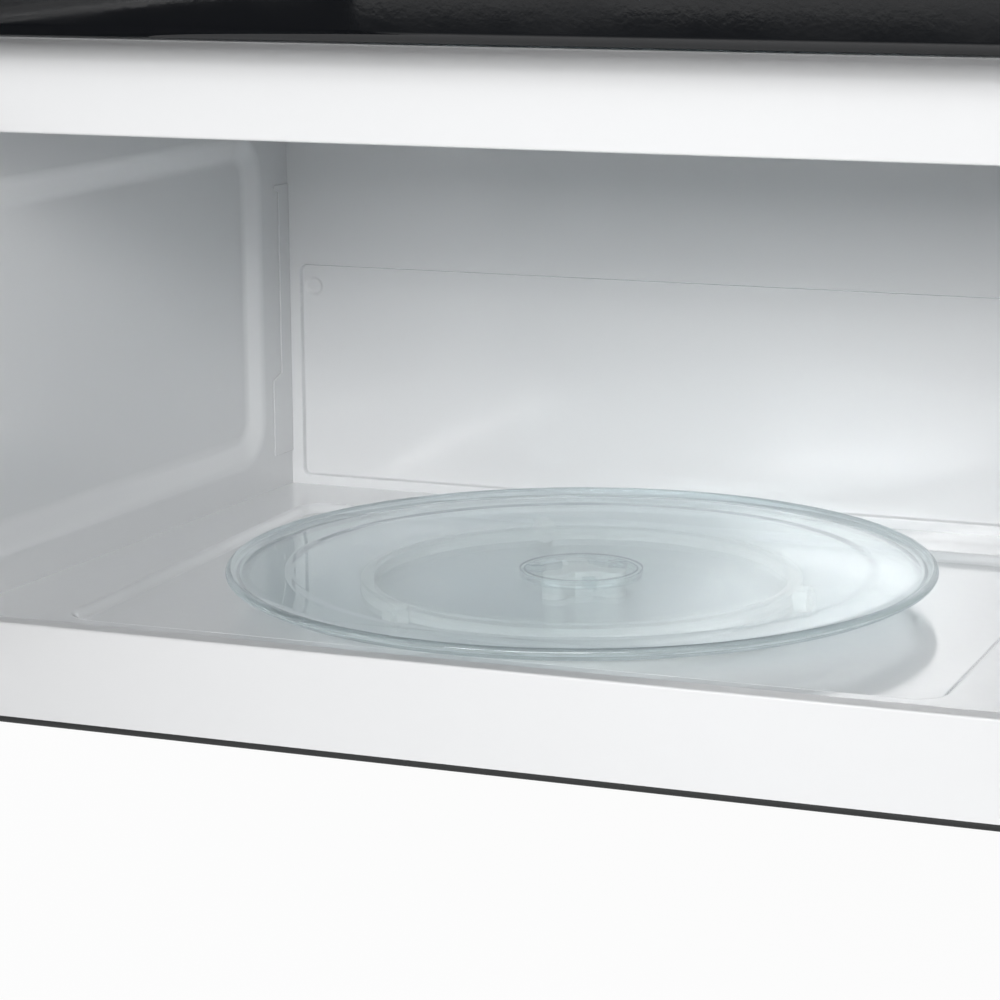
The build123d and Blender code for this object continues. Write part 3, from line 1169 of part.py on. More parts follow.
with BuildPart() as cooktop_lamp_lens:
    with BuildSketch(level(PAN_SHEET)):
        with Locations((0, LENS_Y)):
            RectangleRounded(LENS_WIDTH, LENS_DEPTH, LENS_CORNER)
    extrude(amount=LENS_SHEET)
    # the raised middle that fills the pan's hole, nearly flush with the underside
    with BuildSketch(level(LENS_SHY)):
        with Locations((0, LENS_Y)):
            RectangleRounded(
                LENS_WIDTH - 2 * (LENS_LEDGE + LENS_GAP),
                LENS_DEPTH - 2 * (LENS_LEDGE + LENS_GAP),
                LENS_CORNER - LENS_LEDGE / 2 - LENS_GAP,
            )
    extrude(amount=PAN_SHEET)
cooktop_lamp_lens.part.label = "cooktop_lamp_lens"
export_step(cooktop_lamp_lens.part, "parts/cooktop_lamp_lens.step")

SOCKET_SIZE = 22.0
SOCKET_LENGTH = 20.0
BULB_RADIUS = 8.0
BULB_LENGTH = 34.0
LAMP_LIFT = 3.0
SOCKET_LAP = 4.0  # how far the socket reaches over the lens
SOCKET_FOOT = 10.0
BULB_TIP = 1.0  # flat left at the bulb's tip
lamp_axis_z = PAN_SHEET + LENS_SHEET + LAMP_LIFT + SOCKET_SIZE / 2
socket_x = -LENS_WIDTH / 2 - SOCKET_LENGTH + SOCKET_LAP
lamp_plane = Plane(origin=(socket_x + SOCKET_LENGTH, LENS_Y, lamp_axis_z), x_dir=(0, 1, 0), z_dir=(1, 0, 0))

with BuildPart() as cooktop_lamp:
    with BuildSketch(lamp_plane):
        Rectangle(SOCKET_SIZE, SOCKET_SIZE)
    extrude(amount=-SOCKET_LENGTH)
    with BuildSketch(lamp_plane):
        Circle(BULB_RADIUS)
    extrude(amount=BULB_LENGTH)
    fillet(cooktop_lamp.faces().sort_by(Axis.X)[-1].edges(), BULB_RADIUS - BULB_TIP)
    # a foot down to the base pan
    with BuildSketch(level(PAN_SHEET)):
        with Locations((socket_x + SOCKET_FOOT / 2, LENS_Y)):
            Rectangle(SOCKET_FOOT, SOCKET_SIZE)
    extrude(amount=lamp_axis_z - PAN_SHEET)
cooktop_lamp.part.label = "cooktop_lamp"
export_step(cooktop_lamp.part, "parts/cooktop_lamp.step")

LAMP_BOX_WIDTH = 56.0
LAMP_BOX_DEPTH = 44.0
LAMP_BOX_HEIGHT = 34.0
LAMP_BOX_SHEET = 2.0
LAMP_BULB_RADIUS = 9.0
LAMP_BULB_UP = 8.0

with BuildPart() as cavity_lamp:
    with BuildSketch(level(HOOD_FLOOR)):
        with Locations((LAMP_X, LAMP_Y)):
            Rectangle(LAMP_BOX_WIDTH, LAMP_BOX_DEPTH)
            Rectangle(
                LAMP_BOX_WIDTH - 2 * LAMP_BOX_SHEET, LAMP_BOX_DEPTH - 2 * LAMP_BOX_SHEET, mode=Mode.SUBTRACT
            )
    extrude(amount=LAMP_BOX_HEIGHT)
    with BuildSketch(level(HOOD_FLOOR + LAMP_BOX_HEIGHT - LAMP_BOX_SHEET)):
        with Locations((LAMP_X, LAMP_Y)):
            Rectangle(LAMP_BOX_WIDTH, LAMP_BOX_DEPTH)
    extrude(amount=LAMP_BOX_SHEET)
    with BuildSketch(level(HOOD_FLOOR + LAMP_BULB_UP)):
        with Locations((LAMP_X, LAMP_Y)):
            Circle(LAMP_BULB_RADIUS)
    extrude(amount=LAMP_BOX_HEIGHT - LAMP_BULB_UP - LAMP_BOX_SHEET)
cavity_lamp.part.label = "cavity_lamp"
export_step(cavity_lamp.part, "parts/cavity_lamp.step")

CORD_RADIUS = 5.2
BUSHING_LIP = 3.0  # thickness and width of the lip on each side of the sheet
BUSHING_TAIL = 1.0  # the bushing below its inner lip
bushing_foot = INNER_TOP - BUSHING_LIP - BUSHING_TAIL

with BuildPart() as cord_bushing:
    with BuildSketch(level(bushing_foot)):
        with Locations((BUSHING_X, BUSHING_Y)):
            Circle(BUSHING_RADIUS)
    extrude(amount=HEIGHT - bushing_foot)
    for z in (INNER_TOP - BUSHING_LIP, HEIGHT):
        with BuildSketch(level(z)):
            with Locations((BUSHING_X, BUSHING_Y)):
                Circle(BUSHING_RADIUS + BUSHING_LIP)
        extrude(amount=BUSHING_LIP)
    with BuildSketch(level(bushing_foot)):
        with Locations((BUSHING_X, BUSHING_Y)):
            Circle(CORD_RADIUS)
    extrude(amount=HEIGHT + BUSHING_LIP - bushing_foot, mode=Mode.SUBTRACT)
cord_bushing.part.label = "cord_bushing"
export_step(cord_bushing.part, "parts/cord_bushing.step")

# ================================================================ control side

panel_x = PANEL_X + PANEL_WIDTH / 2
panel_z = (DOOR_BOTTOM + PANEL_TOP) / 2
panel_height = PANEL_TOP - DOOR_BOTTOM
PANEL_MARGIN = 26.0  # above the display and below the keypad
KEYPAD_Z = DOOR_BOTTOM + PANEL_MARGIN + KEYPAD_HEIGHT / 2
DISPLAY_Z = PANEL_TOP - PANEL_MARGIN - DISPLAY_HEIGHT / 2
KEYPAD_CORNER = 4.0
DISPLAY_CORNER = 3.0
PANEL_ROUND = 3.0
BOARD_WIDTH = 140.0
BOARD_SHORT = 80.0  # how much shorter the board is than the panel
BOARD_HEIGHT = panel_height - BOARD_SHORT
BOARD_SHEET = 1.6
BOARD_FORWARD = 16.0  # back of the board, in front of the frame's face
BOSS_RADIUS = 4.0
BOARD_SCREW_IN = 6.0
board_front = FRAME_Y - BOARD_FORWARD - BOARD_SHEET

with BuildPart() as control_panel:
    with BuildSketch(front_plane(FRAME_Y)):
        with Locations((panel_x, panel_z)):
            Rectangle(PANEL_WIDTH, panel_height)
    extrude(amount=FRONT_DEPTH)
    fillet(control_panel.faces().sort_by(Axis.Y)[0].edges(), PANEL_ROUND)
    with BuildSketch(front_plane(FRAME_Y)):
        with Locations((panel_x, panel_z)):
            Rectangle(PANEL_WIDTH - 2 * MOULDING, panel_height - 2 * MOULDING)
    extrude(amount=FRONT_DEPTH - MOULDING, mode=Mode.SUBTRACT)
    with BuildSketch(front_plane(FRONT_Y + KEYPAD_SHEET)):
        with Locations((panel_x, KEYPAD_Z)):
            RectangleRounded(KEYPAD_WIDTH, KEYPAD_HEIGHT, KEYPAD_CORNER)
    extrude(amount=KEYPAD_SHEET, mode=Mode.SUBTRACT)
    with BuildSketch(front_plane(FRONT_Y + MOULDING)):
        with Locations((panel_x, DISPLAY_Z)):
            RectangleRounded(DISPLAY_WIDTH, DISPLAY_HEIGHT, DISPLAY_CORNER)
    extrude(amount=MOULDING, mode=Mode.SUBTRACT)
    with BuildSketch(front_plane(board_front)):
        with Locations((panel_x, panel_z)):
            with GridLocations(BOARD_WIDTH - 2 * BOARD_SCREW_IN, BOARD_HEIGHT - 2 * BOARD_SCREW_IN, 2, 2):
                Circle(BOSS_RADIUS)
    extrude(amount=board_front - FRONT_Y - MOULDING)
control_panel.part.label = "control_panel"
export_step(control_panel.part, "parts/control_panel.step")

with BuildPart() as display_window:
    with BuildSketch(front_plane(FRONT_Y + MOULDING)):
        with Locations((panel_x, DISPLAY_Z)):
            RectangleRounded(DISPLAY_WIDTH, DISPLAY_HEIGHT, DISPLAY_CORNER)
    extrude(amount=MOULDING)
display_window.part.label = "display_window"
export_step(display_window.part, "parts/display_window.step")

with BuildPart() as keypad:
    with BuildSketch(front_plane(FRONT_Y + KEYPAD_SHEET)):
        with Locations((panel_x, KEYPAD_Z)):
            RectangleRounded(KEYPAD_WIDTH, KEYPAD_HEIGHT, KEYPAD_CORNER)
    extrude(amount=KEYPAD_SHEET)
keypad.part.label = "keypad"
export_step(keypad.part, "parts/keypad.step")

# relays, transformer and connector: place on the board, width, height and depth
RELAY = (20.0, 28.0, 13.0)
BOARD_PIECES = (
    (-40.0, 70.0, *RELAY),
    (-12.0, 70.0, *RELAY),
    (16.0, 70.0, *RELAY),
    (20.0, -60.0, 36.0, 42.0, 14.0),
    (-40.0, -20.0, 12.0, 50.0, 9.0),
)

with BuildPart() as control_board:
    with BuildSketch(front_plane(FRAME_Y - BOARD_FORWARD)):
        with Locations((panel_x, panel_z)):
            Rectangle(BOARD_WIDTH, BOARD_HEIGHT)
    extrude(amount=BOARD_SHEET)
    for across, up, piece_width, piece_height, piece_depth in BOARD_PIECES:
        with BuildSketch(front_plane(FRAME_Y - BOARD_FORWARD)):
            with Locations((panel_x + across, panel_z + up)):
                Rectangle(piece_width, piece_height)
        extrude(amount=-piece_depth)
control_board.part.label = "control_board"
export_step(control_board.part, "parts/control_board.step")

LATCH_PLATE = 5.0
LATCH_WIDTH = 34.0
LATCH_WALL = 26.0  # how far the switches' wall reaches back
LATCH_PAST = 30.0  # board past the hooks, at each end
latch_front = FRAME_BACK

with BuildPart() as latch_board:
    latch_height = HOOK_SPACING + 2 * LATCH_PAST
    with BuildSketch(front_plane(latch_front + LATCH_PLATE)):
        with Locations((HOOK_X, DOOR_MID)):
            Rectangle(LATCH_WIDTH, latch_height)
        for z in HOOK_Z:
            with Locations((HOOK_X, z - HOOK_SLOT_DOWN)):
                Rectangle(HOOK_SLOT_WIDTH, HOOK_SLOT_HEIGHT, mode=Mode.SUBTRACT)
    extrude(amount=LATCH_PLATE)
    # a side wall that the switches are screwed to
    wall_x = HOOK_X + LATCH_WIDTH / 2 - MOULDING
    with BuildSketch(level(DOOR_MID - latch_height / 2)):
        with Locations((wall_x + MOULDING / 2, latch_front + LATCH_PLATE + LATCH_WALL / 2)):
            Rectangle(MOULDING, LATCH_WALL)
    extrude(amount=latch_height)
latch_board.part.label = "latch_board"
export_step(latch_board.part, "parts/latch_board.step")

SWITCH_LENGTH = 28.0
SWITCH_HEIGHT = 16.0
SWITCH_WIDTH = 10.0
SWITCH_GAP = 2.0
SWITCH_PITCH = 26.0
switch_x = wall_x + MOULDING + SWITCH_WIDTH / 2
switch_y = latch_front + LATCH_PLATE + SWITCH_GAP + SWITCH_LENGTH / 2

with BuildPart() as interlock_switches:
    for z in (HOOK_Z[0], HOOK_Z[0] + SWITCH_PITCH, HOOK_Z[1]):
        with BuildSketch(level(z - SWITCH_HEIGHT / 2)):
            with Locations((switch_x, switch_y)):
                Rectangle(SWITCH_WIDTH, SWITCH_LENGTH)
        extrude(amount=SWITCH_HEIGHT)
interlock_switches.part.label = "interlock_switches"
export_step(interlock_switches.part, "parts/interlock_switches.step")

# ================================================================ door
# Door sketches use the door's own plane: x runs from the hinge axis to the free edge, y is up,
# and the offset is how far the plane stands in front of the hinge axis.

HINGE_POINT = (HINGE_X, HINGE_Y, 0)
door_along = Vector(1, 0, 0).rotate(Axis.Z, -DOOR_OPEN)
door_out = Vector(0, -1, 0).rotate(Axis.Z, -DOOR_OPEN)
door_base = Plane(origin=HINGE_POINT, x_dir=door_along, z_dir=door_out)
door_level = Plane(origin=HINGE_POINT, x_dir=door_along, z_dir=(0, 0, 1))


def door_plane(forward):
    """The door's sketch plane, this far in front of the hinge axis."""
    return door_base.offset(forward)


door_back = DOOR_CLEARANCE - HINGE_FORWARD
door_front = FRONT_DEPTH - HINGE_FORWARD
inner_front = door_front - DOOR_FRONT_WALL
door_left = -HINGE_IN
door_right = DOOR_WIDTH - HINGE_IN
door_mid = (door_left + door_right) / 2
inner_left = door_left + HINGE_WALL
inner_right = door_right - MOULDING
inner_bottom = DOOR_BOTTOM + MOULDING
inner_top = DOOR_TOP - MOULDING
glass_mid = CAVITY_X - HINGE_X
choke_back = door_back + COVER_THICKNESS
choke_front = choke_back + CHOKE_DEPTH
hook_u = HOOK_X - HINGE_X
NOTCH_FRONT = 12.5
NOTCH_MARGIN = 1.5
DOOR_ROUND = 3.0
DOOR_BOSS_RADIUS = 4.0
DOOR_BOSS_SPACING = 260.0
DOOR_BOSS_IN = 15.0  # inside the choke's edge
HINGE_BOSS_RADIUS = 7.0
GUIDE_HEIGHT = 12.0
GUIDE_SPACING = 120.0
BRACKET_REACH = 14.0
HOOK_BAR_GAP = 4.0  # from the back of the door
HOOK_BAR_BACK = door_back + HOOK_BAR_GAP
HOOK_BAR_DEPTH = 7.0
HOOK_BAR_LENGTH = 200.0

with BuildPart() as hinge_brackets:
    for z in LEAF_Z:
        with BuildSketch(level(z)):
            with Locations((HINGE_X, (HINGE_Y + FRAME_BACK) / 2)):
                Rectangle(2 * LEAF_HALF_WIDTH, FRAME_BACK - HINGE_Y)
            with Locations((HINGE_X, HINGE_Y)):
                Circle(LEAF_HALF_WIDTH)
                Circle(PIN_RADIUS + RUNNING, mode=Mode.SUBTRACT)
        extrude(amount=LEAF_THICKNESS)
        with BuildSketch(front_plane(FRAME_BACK + PLATE_SHEET)):
            with Locations((HINGE_X, z + LEAF_THICKNESS / 2)):
                Rectangle(2 * (LEAF_HALF_WIDTH + LEAF_SLOT), LEAF_THICKNESS + BRACKET_REACH)
        extrude(amount=PLATE_SHEET)
hinge_brackets.part.label = "hinge_brackets"
export_step(hinge_brackets.part, "parts/hinge_brackets.step")

notch_height = LEAF_THICKNESS + 2 * NOTCH_MARGIN
notch_left = 2 * door_left

with BuildPart() as door_frame:
    with BuildSketch(door_plane(door_back)):
        with Locations((door_mid, DOOR_MID)):
            Rectangle(DOOR_WIDTH, DOOR_HEIGHT)
    extrude(amount=door_front - door_back)
    upright_edges = door_frame.edges().filter_by(Axis.Z)
    fillet(upright_edges.sort_by_distance((HINGE_X, HINGE_Y, DOOR_MID))[:2], DOOR_CORNER)
    fillet(door_frame.faces().sort_by(Axis(HINGE_POINT, door_out))[-1].edges(), DOOR_ROUND)
    with BuildSketch(door_plane(door_back)):
        with Locations(((inner_left + inner_right) / 2, DOOR_MID)):
            Rectangle(inner_right - inner_left, inner_top - inner_bottom)
    extrude(amount=inner_front - door_back, mode=Mode.SUBTRACT)
    with BuildSketch(door_plane(inner_front)):
        with Locations((glass_mid, OPENING_MID)):
            RectangleRounded(GLASS_WIDTH - 2 * GLASS_LAP, GLASS_HEIGHT - 2 * GLASS_LAP, WINDOW_CORNER)
    extrude(amount=DOOR_FRONT_WALL, mode=Mode.SUBTRACT)
    # bosses for the inner panel's screws, and two stops in front of the latch bar
    with BuildSketch(door_plane(choke_front)):
        with Locations((glass_mid, OPENING_MID)):
            with GridLocations(DOOR_BOSS_SPACING, CHOKE_HEIGHT - 2 * DOOR_BOSS_IN, 3, 2):
                Circle(DOOR_BOSS_RADIUS)
    extrude(amount=inner_front - choke_front)
    with BuildSketch(door_plane(HOOK_BAR_BACK + HOOK_BAR_DEPTH + FIT)):
        with Locations((hook_u, DOOR_MID)):
            with GridLocations(0, GUIDE_SPACING, 1, 2):
                Rectangle(HOOK_THICKNESS, GUIDE_HEIGHT)
    extrude(amount=inner_front - HOOK_BAR_BACK - HOOK_BAR_DEPTH - FIT)
    # a boss at each end that holds the outer end of the hinge pin
    for z, height in (
        (inner_bottom, LEAF_Z[0] - LEAF_GAP - inner_bottom),
        (LEAF_Z[1] + LEAF_THICKNESS + LEAF_GAP, inner_top - LEAF_Z[1] - LEAF_THICKNESS - LEAF_GAP),
    ):
        with BuildSketch(door_level.offset(z)):
            Circle(HINGE_BOSS_RADIUS)
        extrude(amount=height)
        with BuildSketch(door_level.offset(z)):
            Circle(PIN_RADIUS)
        extrude(amount=height, mode=Mode.SUBTRACT)
    # notches that the fixed leaves pass through as the door swings
    for z in LEAF_Z:
        with BuildSketch(door_plane(2 * door_back)):
            with Locations((notch_left / 2, z + LEAF_THICKNESS / 2)):
                Rectangle(-notch_left, notch_height)
        extrude(amount=NOTCH_FRONT - 2 * door_back, mode=Mode.SUBTRACT)
door_frame.part.label = "door_frame"
export_step(door_frame.part, "parts/door_frame.step")

with BuildPart() as door_window:
    with BuildSketch(door_plane(inner_front - WINDOW_PANE)):
        with Locations((glass_mid, OPENING_MID)):
            RectangleRounded(GLASS_WIDTH, GLASS_HEIGHT, PANE_CORNER)
    extrude(amount=WINDOW_PANE)
door_window.part.label = "door_window"
export_step(door_window.part, "parts/door_window.step")

screen_width = CHOKE_WIDTH - 2 * CHOKE_SHEET - 2 * CHOKE_CHANNEL
screen_height = CHOKE_HEIGHT - 2 * CHOKE_SHEET - 2 * CHOKE_CHANNEL
EAR_SHEET = 2.0
EAR_WIDTH = 27.0
EAR_LAP = 9.0
EAR_DEPTH = 11.0
CHOKE_CORNER = 8.0
SCREEN_CORNER = 12.0

with BuildPart() as door_choke:
    with BuildSketch(door_plane(choke_back)):
        with Locations((glass_mid, OPENING_MID)):
            RectangleRounded(CHOKE_WIDTH, CHOKE_HEIGHT, CHOKE_CORNER)
    extrude(amount=CHOKE_DEPTH)
    # the channel round the screen, open at the back
    with BuildSketch(door_plane(choke_back)):
        with Locations((glass_mid, OPENING_MID)):
            RectangleRounded(
                CHOKE_WIDTH - 2 * CHOKE_SHEET, CHOKE_HEIGHT - 2 * CHOKE_SHEET, CHOKE_CORNER - CHOKE_SHEET
            )
            RectangleRounded(screen_width, screen_height, SCREEN_CORNER, mode=Mode.SUBTRACT)
    extrude(amount=CHOKE_DEPTH - CHOKE_SHEET, mode=Mode.SUBTRACT)
    with BuildSketch(door_plane(choke_back + CHOKE_SHEET)):
        with Locations((glass_mid, OPENING_MID)):
            RectangleRounded(
                screen_width - 2 * CHOKE_SHEET, screen_height - 2 * CHOKE_SHEET, SCREEN_CORNER - CHOKE_SHEET
            )
    extrude(amount=CHOKE_DEPTH, mode=Mode.SUBTRACT)
    # an ear at each end, with the inner end of the hinge pin in it
    for z, top in (
        (LEAF_Z[0] + LEAF_THICKNESS + LEAF_GAP, False),
        (LEAF_Z[1] - LEAF_GAP - EAR_HEIGHT, True),
    ):
        lap_z = z - EAR_LAP if top else z
        with BuildSketch(door_plane(choke_front)):
            with Locations((inner_left + EAR_WIDTH / 2, lap_z + (EAR_HEIGHT + EAR_LAP) / 2)):
                Rectangle(EAR_WIDTH - FIT, EAR_HEIGHT + EAR_LAP)
        extrude(amount=EAR_SHEET)
        with BuildSketch(door_plane(choke_front)):
            with Locations((inner_left + EAR_WIDTH / 2, z + EAR_HEIGHT / 2)):
                Rectangle(EAR_WIDTH - FIT, EAR_HEIGHT)
        extrude(amount=EAR_DEPTH)
        with BuildSketch(door_level.offset(z)):
            Circle(PIN_RADIUS)
        extrude(amount=EAR_HEIGHT, mode=Mode.SUBTRACT)
door_choke.part.label = "door_choke"
export_step(door_choke.part, "parts/door_choke.step")

film_width = screen_width - 2 * COVER_LAP_CHOKE
film_height = screen_height - 2 * COVER_LAP_CHOKE
FILM_CORNER = 8.0
COVER_SLOT_PLAY = 1.0

with BuildPart() as choke_cover:
    with BuildSketch(door_plane(door_back)):
        with Locations(((inner_left + inner_right) / 2, DOOR_MID)):
            Rectangle(inner_right - inner_left, inner_top - inner_bottom)
        with Locations((glass_mid, OPENING_MID)):
            RectangleRounded(film_width, film_height, FILM_CORNER, mode=Mode.SUBTRACT)
        for z in LEAF_Z:
            with Locations((0, z + LEAF_THICKNESS / 2)):
                Rectangle(2 * (LEAF_HALF_WIDTH + LEAF_GAP), notch_height, mode=Mode.SUBTRACT)
        for z in HOOK_Z:
            with Locations((hook_u, z - HOOK_SLOT_DOWN)):
                Rectangle(HOOK_THICKNESS + 2 * COVER_SLOT_PLAY, HOOK_SLOT_HEIGHT, mode=Mode.SUBTRACT)
    extrude(amount=COVER_THICKNESS)
choke_cover.part.label = "choke_cover"
export_step(choke_cover.part, "parts/choke_cover.step")

with BuildPart() as door_film:
    with BuildSketch(door_plane(door_back)):
        with Locations((glass_mid, OPENING_MID)):
            RectangleRounded(film_width, film_height, FILM_CORNER)
    extrude(amount=COVER_THICKNESS)
door_film.part.label = "door_film"
export_step(door_film.part, "parts/door_film.step")

pin_start = DOOR_BOTTOM + MOULDING
pin_length = LEAF_Z[0] + LEAF_THICKNESS + LEAF_GAP + EAR_HEIGHT - pin_start

with BuildPart() as hinge_pins:
    for z in (pin_start, inner_top - pin_length):
        with BuildSketch(door_level.offset(z)):
            Circle(PIN_RADIUS)
        extrude(amount=pin_length)
hinge_pins.part.label = "hinge_pins"
export_step(hinge_pins.part, "parts/hinge_pins.step")

HANDLE_POST = 20.0
HANDLE_ROUND = 5.0
POST_IN = 3.0  # post inside the bar, at each side
POST_CORNER = 4.0
handle_u = door_right - HANDLE_IN

with BuildPart() as door_handle:
    with BuildSketch(door_plane(door_front + HANDLE_STAND)):
        with Locations((handle_u, DOOR_MID)):
            Rectangle(HANDLE_WIDTH, HANDLE_LENGTH)
    extrude(amount=HANDLE_BAR)
    fillet(door_handle.edges(), HANDLE_ROUND)
    with BuildSketch(door_plane(door_front)):
        with Locations((handle_u, DOOR_MID)):
            with GridLocations(0, HANDLE_LENGTH - HANDLE_POST - 2 * HANDLE_ROUND, 1, 2):
                RectangleRounded(HANDLE_WIDTH - 2 * POST_IN, HANDLE_POST, POST_CORNER)
    extrude(amount=HANDLE_STAND + HANDLE_BAR / 2)
door_handle.part.label = "door_handle"
export_step(door_handle.part, "parts/door_handle.step")

hook_length = HOOK_BAR_BACK + HINGE_FORWARD + HOOK_REACH
HOOK_CHAMFER = 3.0

with BuildPart() as latch_hooks:
    with BuildSketch(door_plane(HOOK_BAR_BACK)):
        with Locations((hook_u, DOOR_MID)):
            Rectangle(HOOK_THICKNESS, HOOK_BAR_LENGTH)
    extrude(amount=HOOK_BAR_DEPTH)
    hook_tip = HOOK_BAR_BACK - hook_length
    for z in HOOK_Z:
        with BuildSketch(door_plane(hook_tip)):
            with Locations((hook_u, z)):
                Rectangle(HOOK_THICKNESS, HOOK_HEIGHT)
        extrude(amount=hook_length)
        with BuildSketch(door_plane(hook_tip)):
            with Locations((hook_u, z - HOOK_HEIGHT / 2 - HOOK_NOSE / 2)):
                Rectangle(HOOK_THICKNESS, HOOK_NOSE)
        extrude(amount=HOOK_NOSE + HOOK_CHAMFER)
latch_hooks.part.label = "latch_hooks"
export_step(latch_hooks.part, "parts/latch_hooks.step")

# ================================================================ fasteners in sight

HEAD_RADIUS = 3.8
HEAD_HEIGHT = 1.6
SCREW_LENGTH = 8.0
SLOT_WIDTH = 0.9

with BuildPart() as grille_screws:
    with BuildSketch(level(HEIGHT - SCREW_LENGTH)):
        with Locations((0, FRAME_Y - TAB_LENGTH / 2)):
            with GridLocations(SCREW_SPACING, 0, 3, 1):
                Circle(SCREW_RADIUS)
    extrude(amount=SCREW_LENGTH)
    with BuildSketch(level(HEIGHT)):
        with Locations((0, FRAME_Y - TAB_LENGTH / 2)):
            with GridLocations(SCREW_SPACING, 0, 3, 1):
                Circle(HEAD_RADIUS)
    extrude(amount=HEAD_HEIGHT)
    fillet(grille_screws.edges().group_by(Axis.Z)[-1], HEAD_HEIGHT / 2)
    with BuildSketch(level(HEIGHT + HEAD_HEIGHT / 2)):
        with Locations((0, FRAME_Y - TAB_LENGTH / 2)):
            with GridLocations(SCREW_SPACING, 0, 3, 1):
                Rectangle(HEAD_RADIUS, SLOT_WIDTH)
                Rectangle(SLOT_WIDTH, HEAD_RADIUS)
    extrude(amount=HEAD_HEIGHT, mode=Mode.SUBTRACT)
grille_screws.part.label = "grille_screws"
export_step(grille_screws.part, "parts/grille_screws.step")
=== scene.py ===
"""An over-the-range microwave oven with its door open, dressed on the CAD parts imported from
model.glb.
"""

import logging
import math
from dataclasses import dataclass
from enum import Enum
from typing import ClassVar, Sequence

import bmesh
import bpy
from mathutils import Matrix, Vector


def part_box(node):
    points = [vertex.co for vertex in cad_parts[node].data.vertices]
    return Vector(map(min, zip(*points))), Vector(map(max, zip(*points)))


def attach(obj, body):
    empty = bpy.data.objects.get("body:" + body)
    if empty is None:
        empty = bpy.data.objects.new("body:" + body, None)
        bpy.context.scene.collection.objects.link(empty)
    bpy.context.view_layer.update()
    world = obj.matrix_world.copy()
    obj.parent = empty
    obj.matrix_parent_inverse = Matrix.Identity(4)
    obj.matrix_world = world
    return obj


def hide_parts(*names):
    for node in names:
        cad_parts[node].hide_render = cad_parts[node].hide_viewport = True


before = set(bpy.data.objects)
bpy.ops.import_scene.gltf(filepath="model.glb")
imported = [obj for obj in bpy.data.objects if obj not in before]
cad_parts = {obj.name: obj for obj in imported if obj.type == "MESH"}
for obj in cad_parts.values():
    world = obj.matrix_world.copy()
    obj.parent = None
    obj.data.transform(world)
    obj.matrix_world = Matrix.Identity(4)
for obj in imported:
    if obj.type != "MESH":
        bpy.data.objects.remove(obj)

LOG = logging.getLogger("microwave")
MM = 0.001


# ---------------------------------------------------------------- the maker's tools

class Side(Enum):
    """A side of the oven, seen from the front."""

    LEFT = -1
    RIGHT = 1


def new_mesh_object(name: str, bm: bmesh.types.BMesh) -> bpy.types.Object:
    """Turn a finished bmesh into an object in the scene.

    Args:
        name: the object's name.
        bm: the mesh, which is freed here.

    Returns:
        The new object, at the origin and unturned.
    """
    mesh = bpy.data.meshes.new(name)
    bm.to_mesh(mesh)
    bm.free()
    piece = bpy.data.objects.new(name, mesh)
    bpy.context.scene.collection.objects.link(piece)
    return piece


def shade_smooth(piece: bpy.types.Object, angle: float = 40.0) -> None:
    """Shade a piece smooth, with edges sharper than the angle kept crisp.

    Args:
        piece: the object.
        angle: the sharpest smooth edge, in degrees.
    """
    mesh = piece.data
    limit = math.radians(angle)
    bm = bmesh.new()
    bm.from_mesh(mesh)
    for face in bm.faces:
        face.smooth = True
    for edge in bm.edges:
        edge.smooth = len(edge.link_faces) == 2 and edge.calc_face_angle(math.pi) < limit
    bm.to_mesh(mesh)
    bm.free()
    weighted = piece.modifiers.new("even_normals", "WEIGHTED_NORMAL")
    weighted.keep_sharp = True
    weighted.weight = 80


def add_bevel(
    piece: bpy.types.Object, width: float, segments: int = 3, angle: float = 30.0
) -> None:
    """Round a piece's sharp edges with a modifier.

    Args:
        piece: the object.
        width: the bevel's width in metres.
        segments: steps across the bevel.
        angle: edges sharper than this are rounded, in degrees.
    """
    bevel = piece.modifiers.new("rounded_edges", "BEVEL")
    bevel.width = width
    bevel.segments = segments
    bevel.limit_method = "ANGLE"
    bevel.angle_limit = math.radians(angle)
    bevel.harden_normals = False


def dress(piece: bpy.types.Object, finish: bpy.types.Material) -> None:
    """Give a piece one material in all its slots."""
    piece.data.materials.clear()
    piece.data.materials.append(finish)


def loop_between(bm: bmesh.types.BMesh, edges: Sequence[bmesh.types.BMEdge]) -> None:
    """Fill the flat region that closed edge loops bound, with its holes left open."""
    bmesh.ops.triangle_fill(bm, use_beauty=True, use_dissolve=False, edges=list(edges))


def rounded_face(
    bm: bmesh.types.BMesh,
    centre: tuple[float, float],
    size: tuple[float, float],
    radius: float,
    steps: int,
) -> bmesh.types.BMFace:
    """Make a flat rounded rectangle in the XY plane, facing up.

    Args:
        bm: an empty mesh for it.
        centre: its centre.
        size: its width and height.
        radius: its corner radius.
        steps: segments in each corner.

    Returns:
        The face.
    """
    half_w, half_h = size[0] / 2, size[1] / 2
    corners = [
        bm.verts.new((centre[0] + sx * half_w, centre[1] + sy * half_h, 0.0))
        for sx, sy in ((-1, -1), (1, -1), (1, 1), (-1, 1))
    ]
    bm.faces.new(corners)
    bmesh.ops.bevel(
        bm,
        geom=corners,
        offset=radius,
        offset_type="OFFSET",
        segments=steps,
        profile=0.5,
        affect="VERTICES",
        material=-1,
    )
    return max(bm.faces, key=lambda face: face.calc_area())


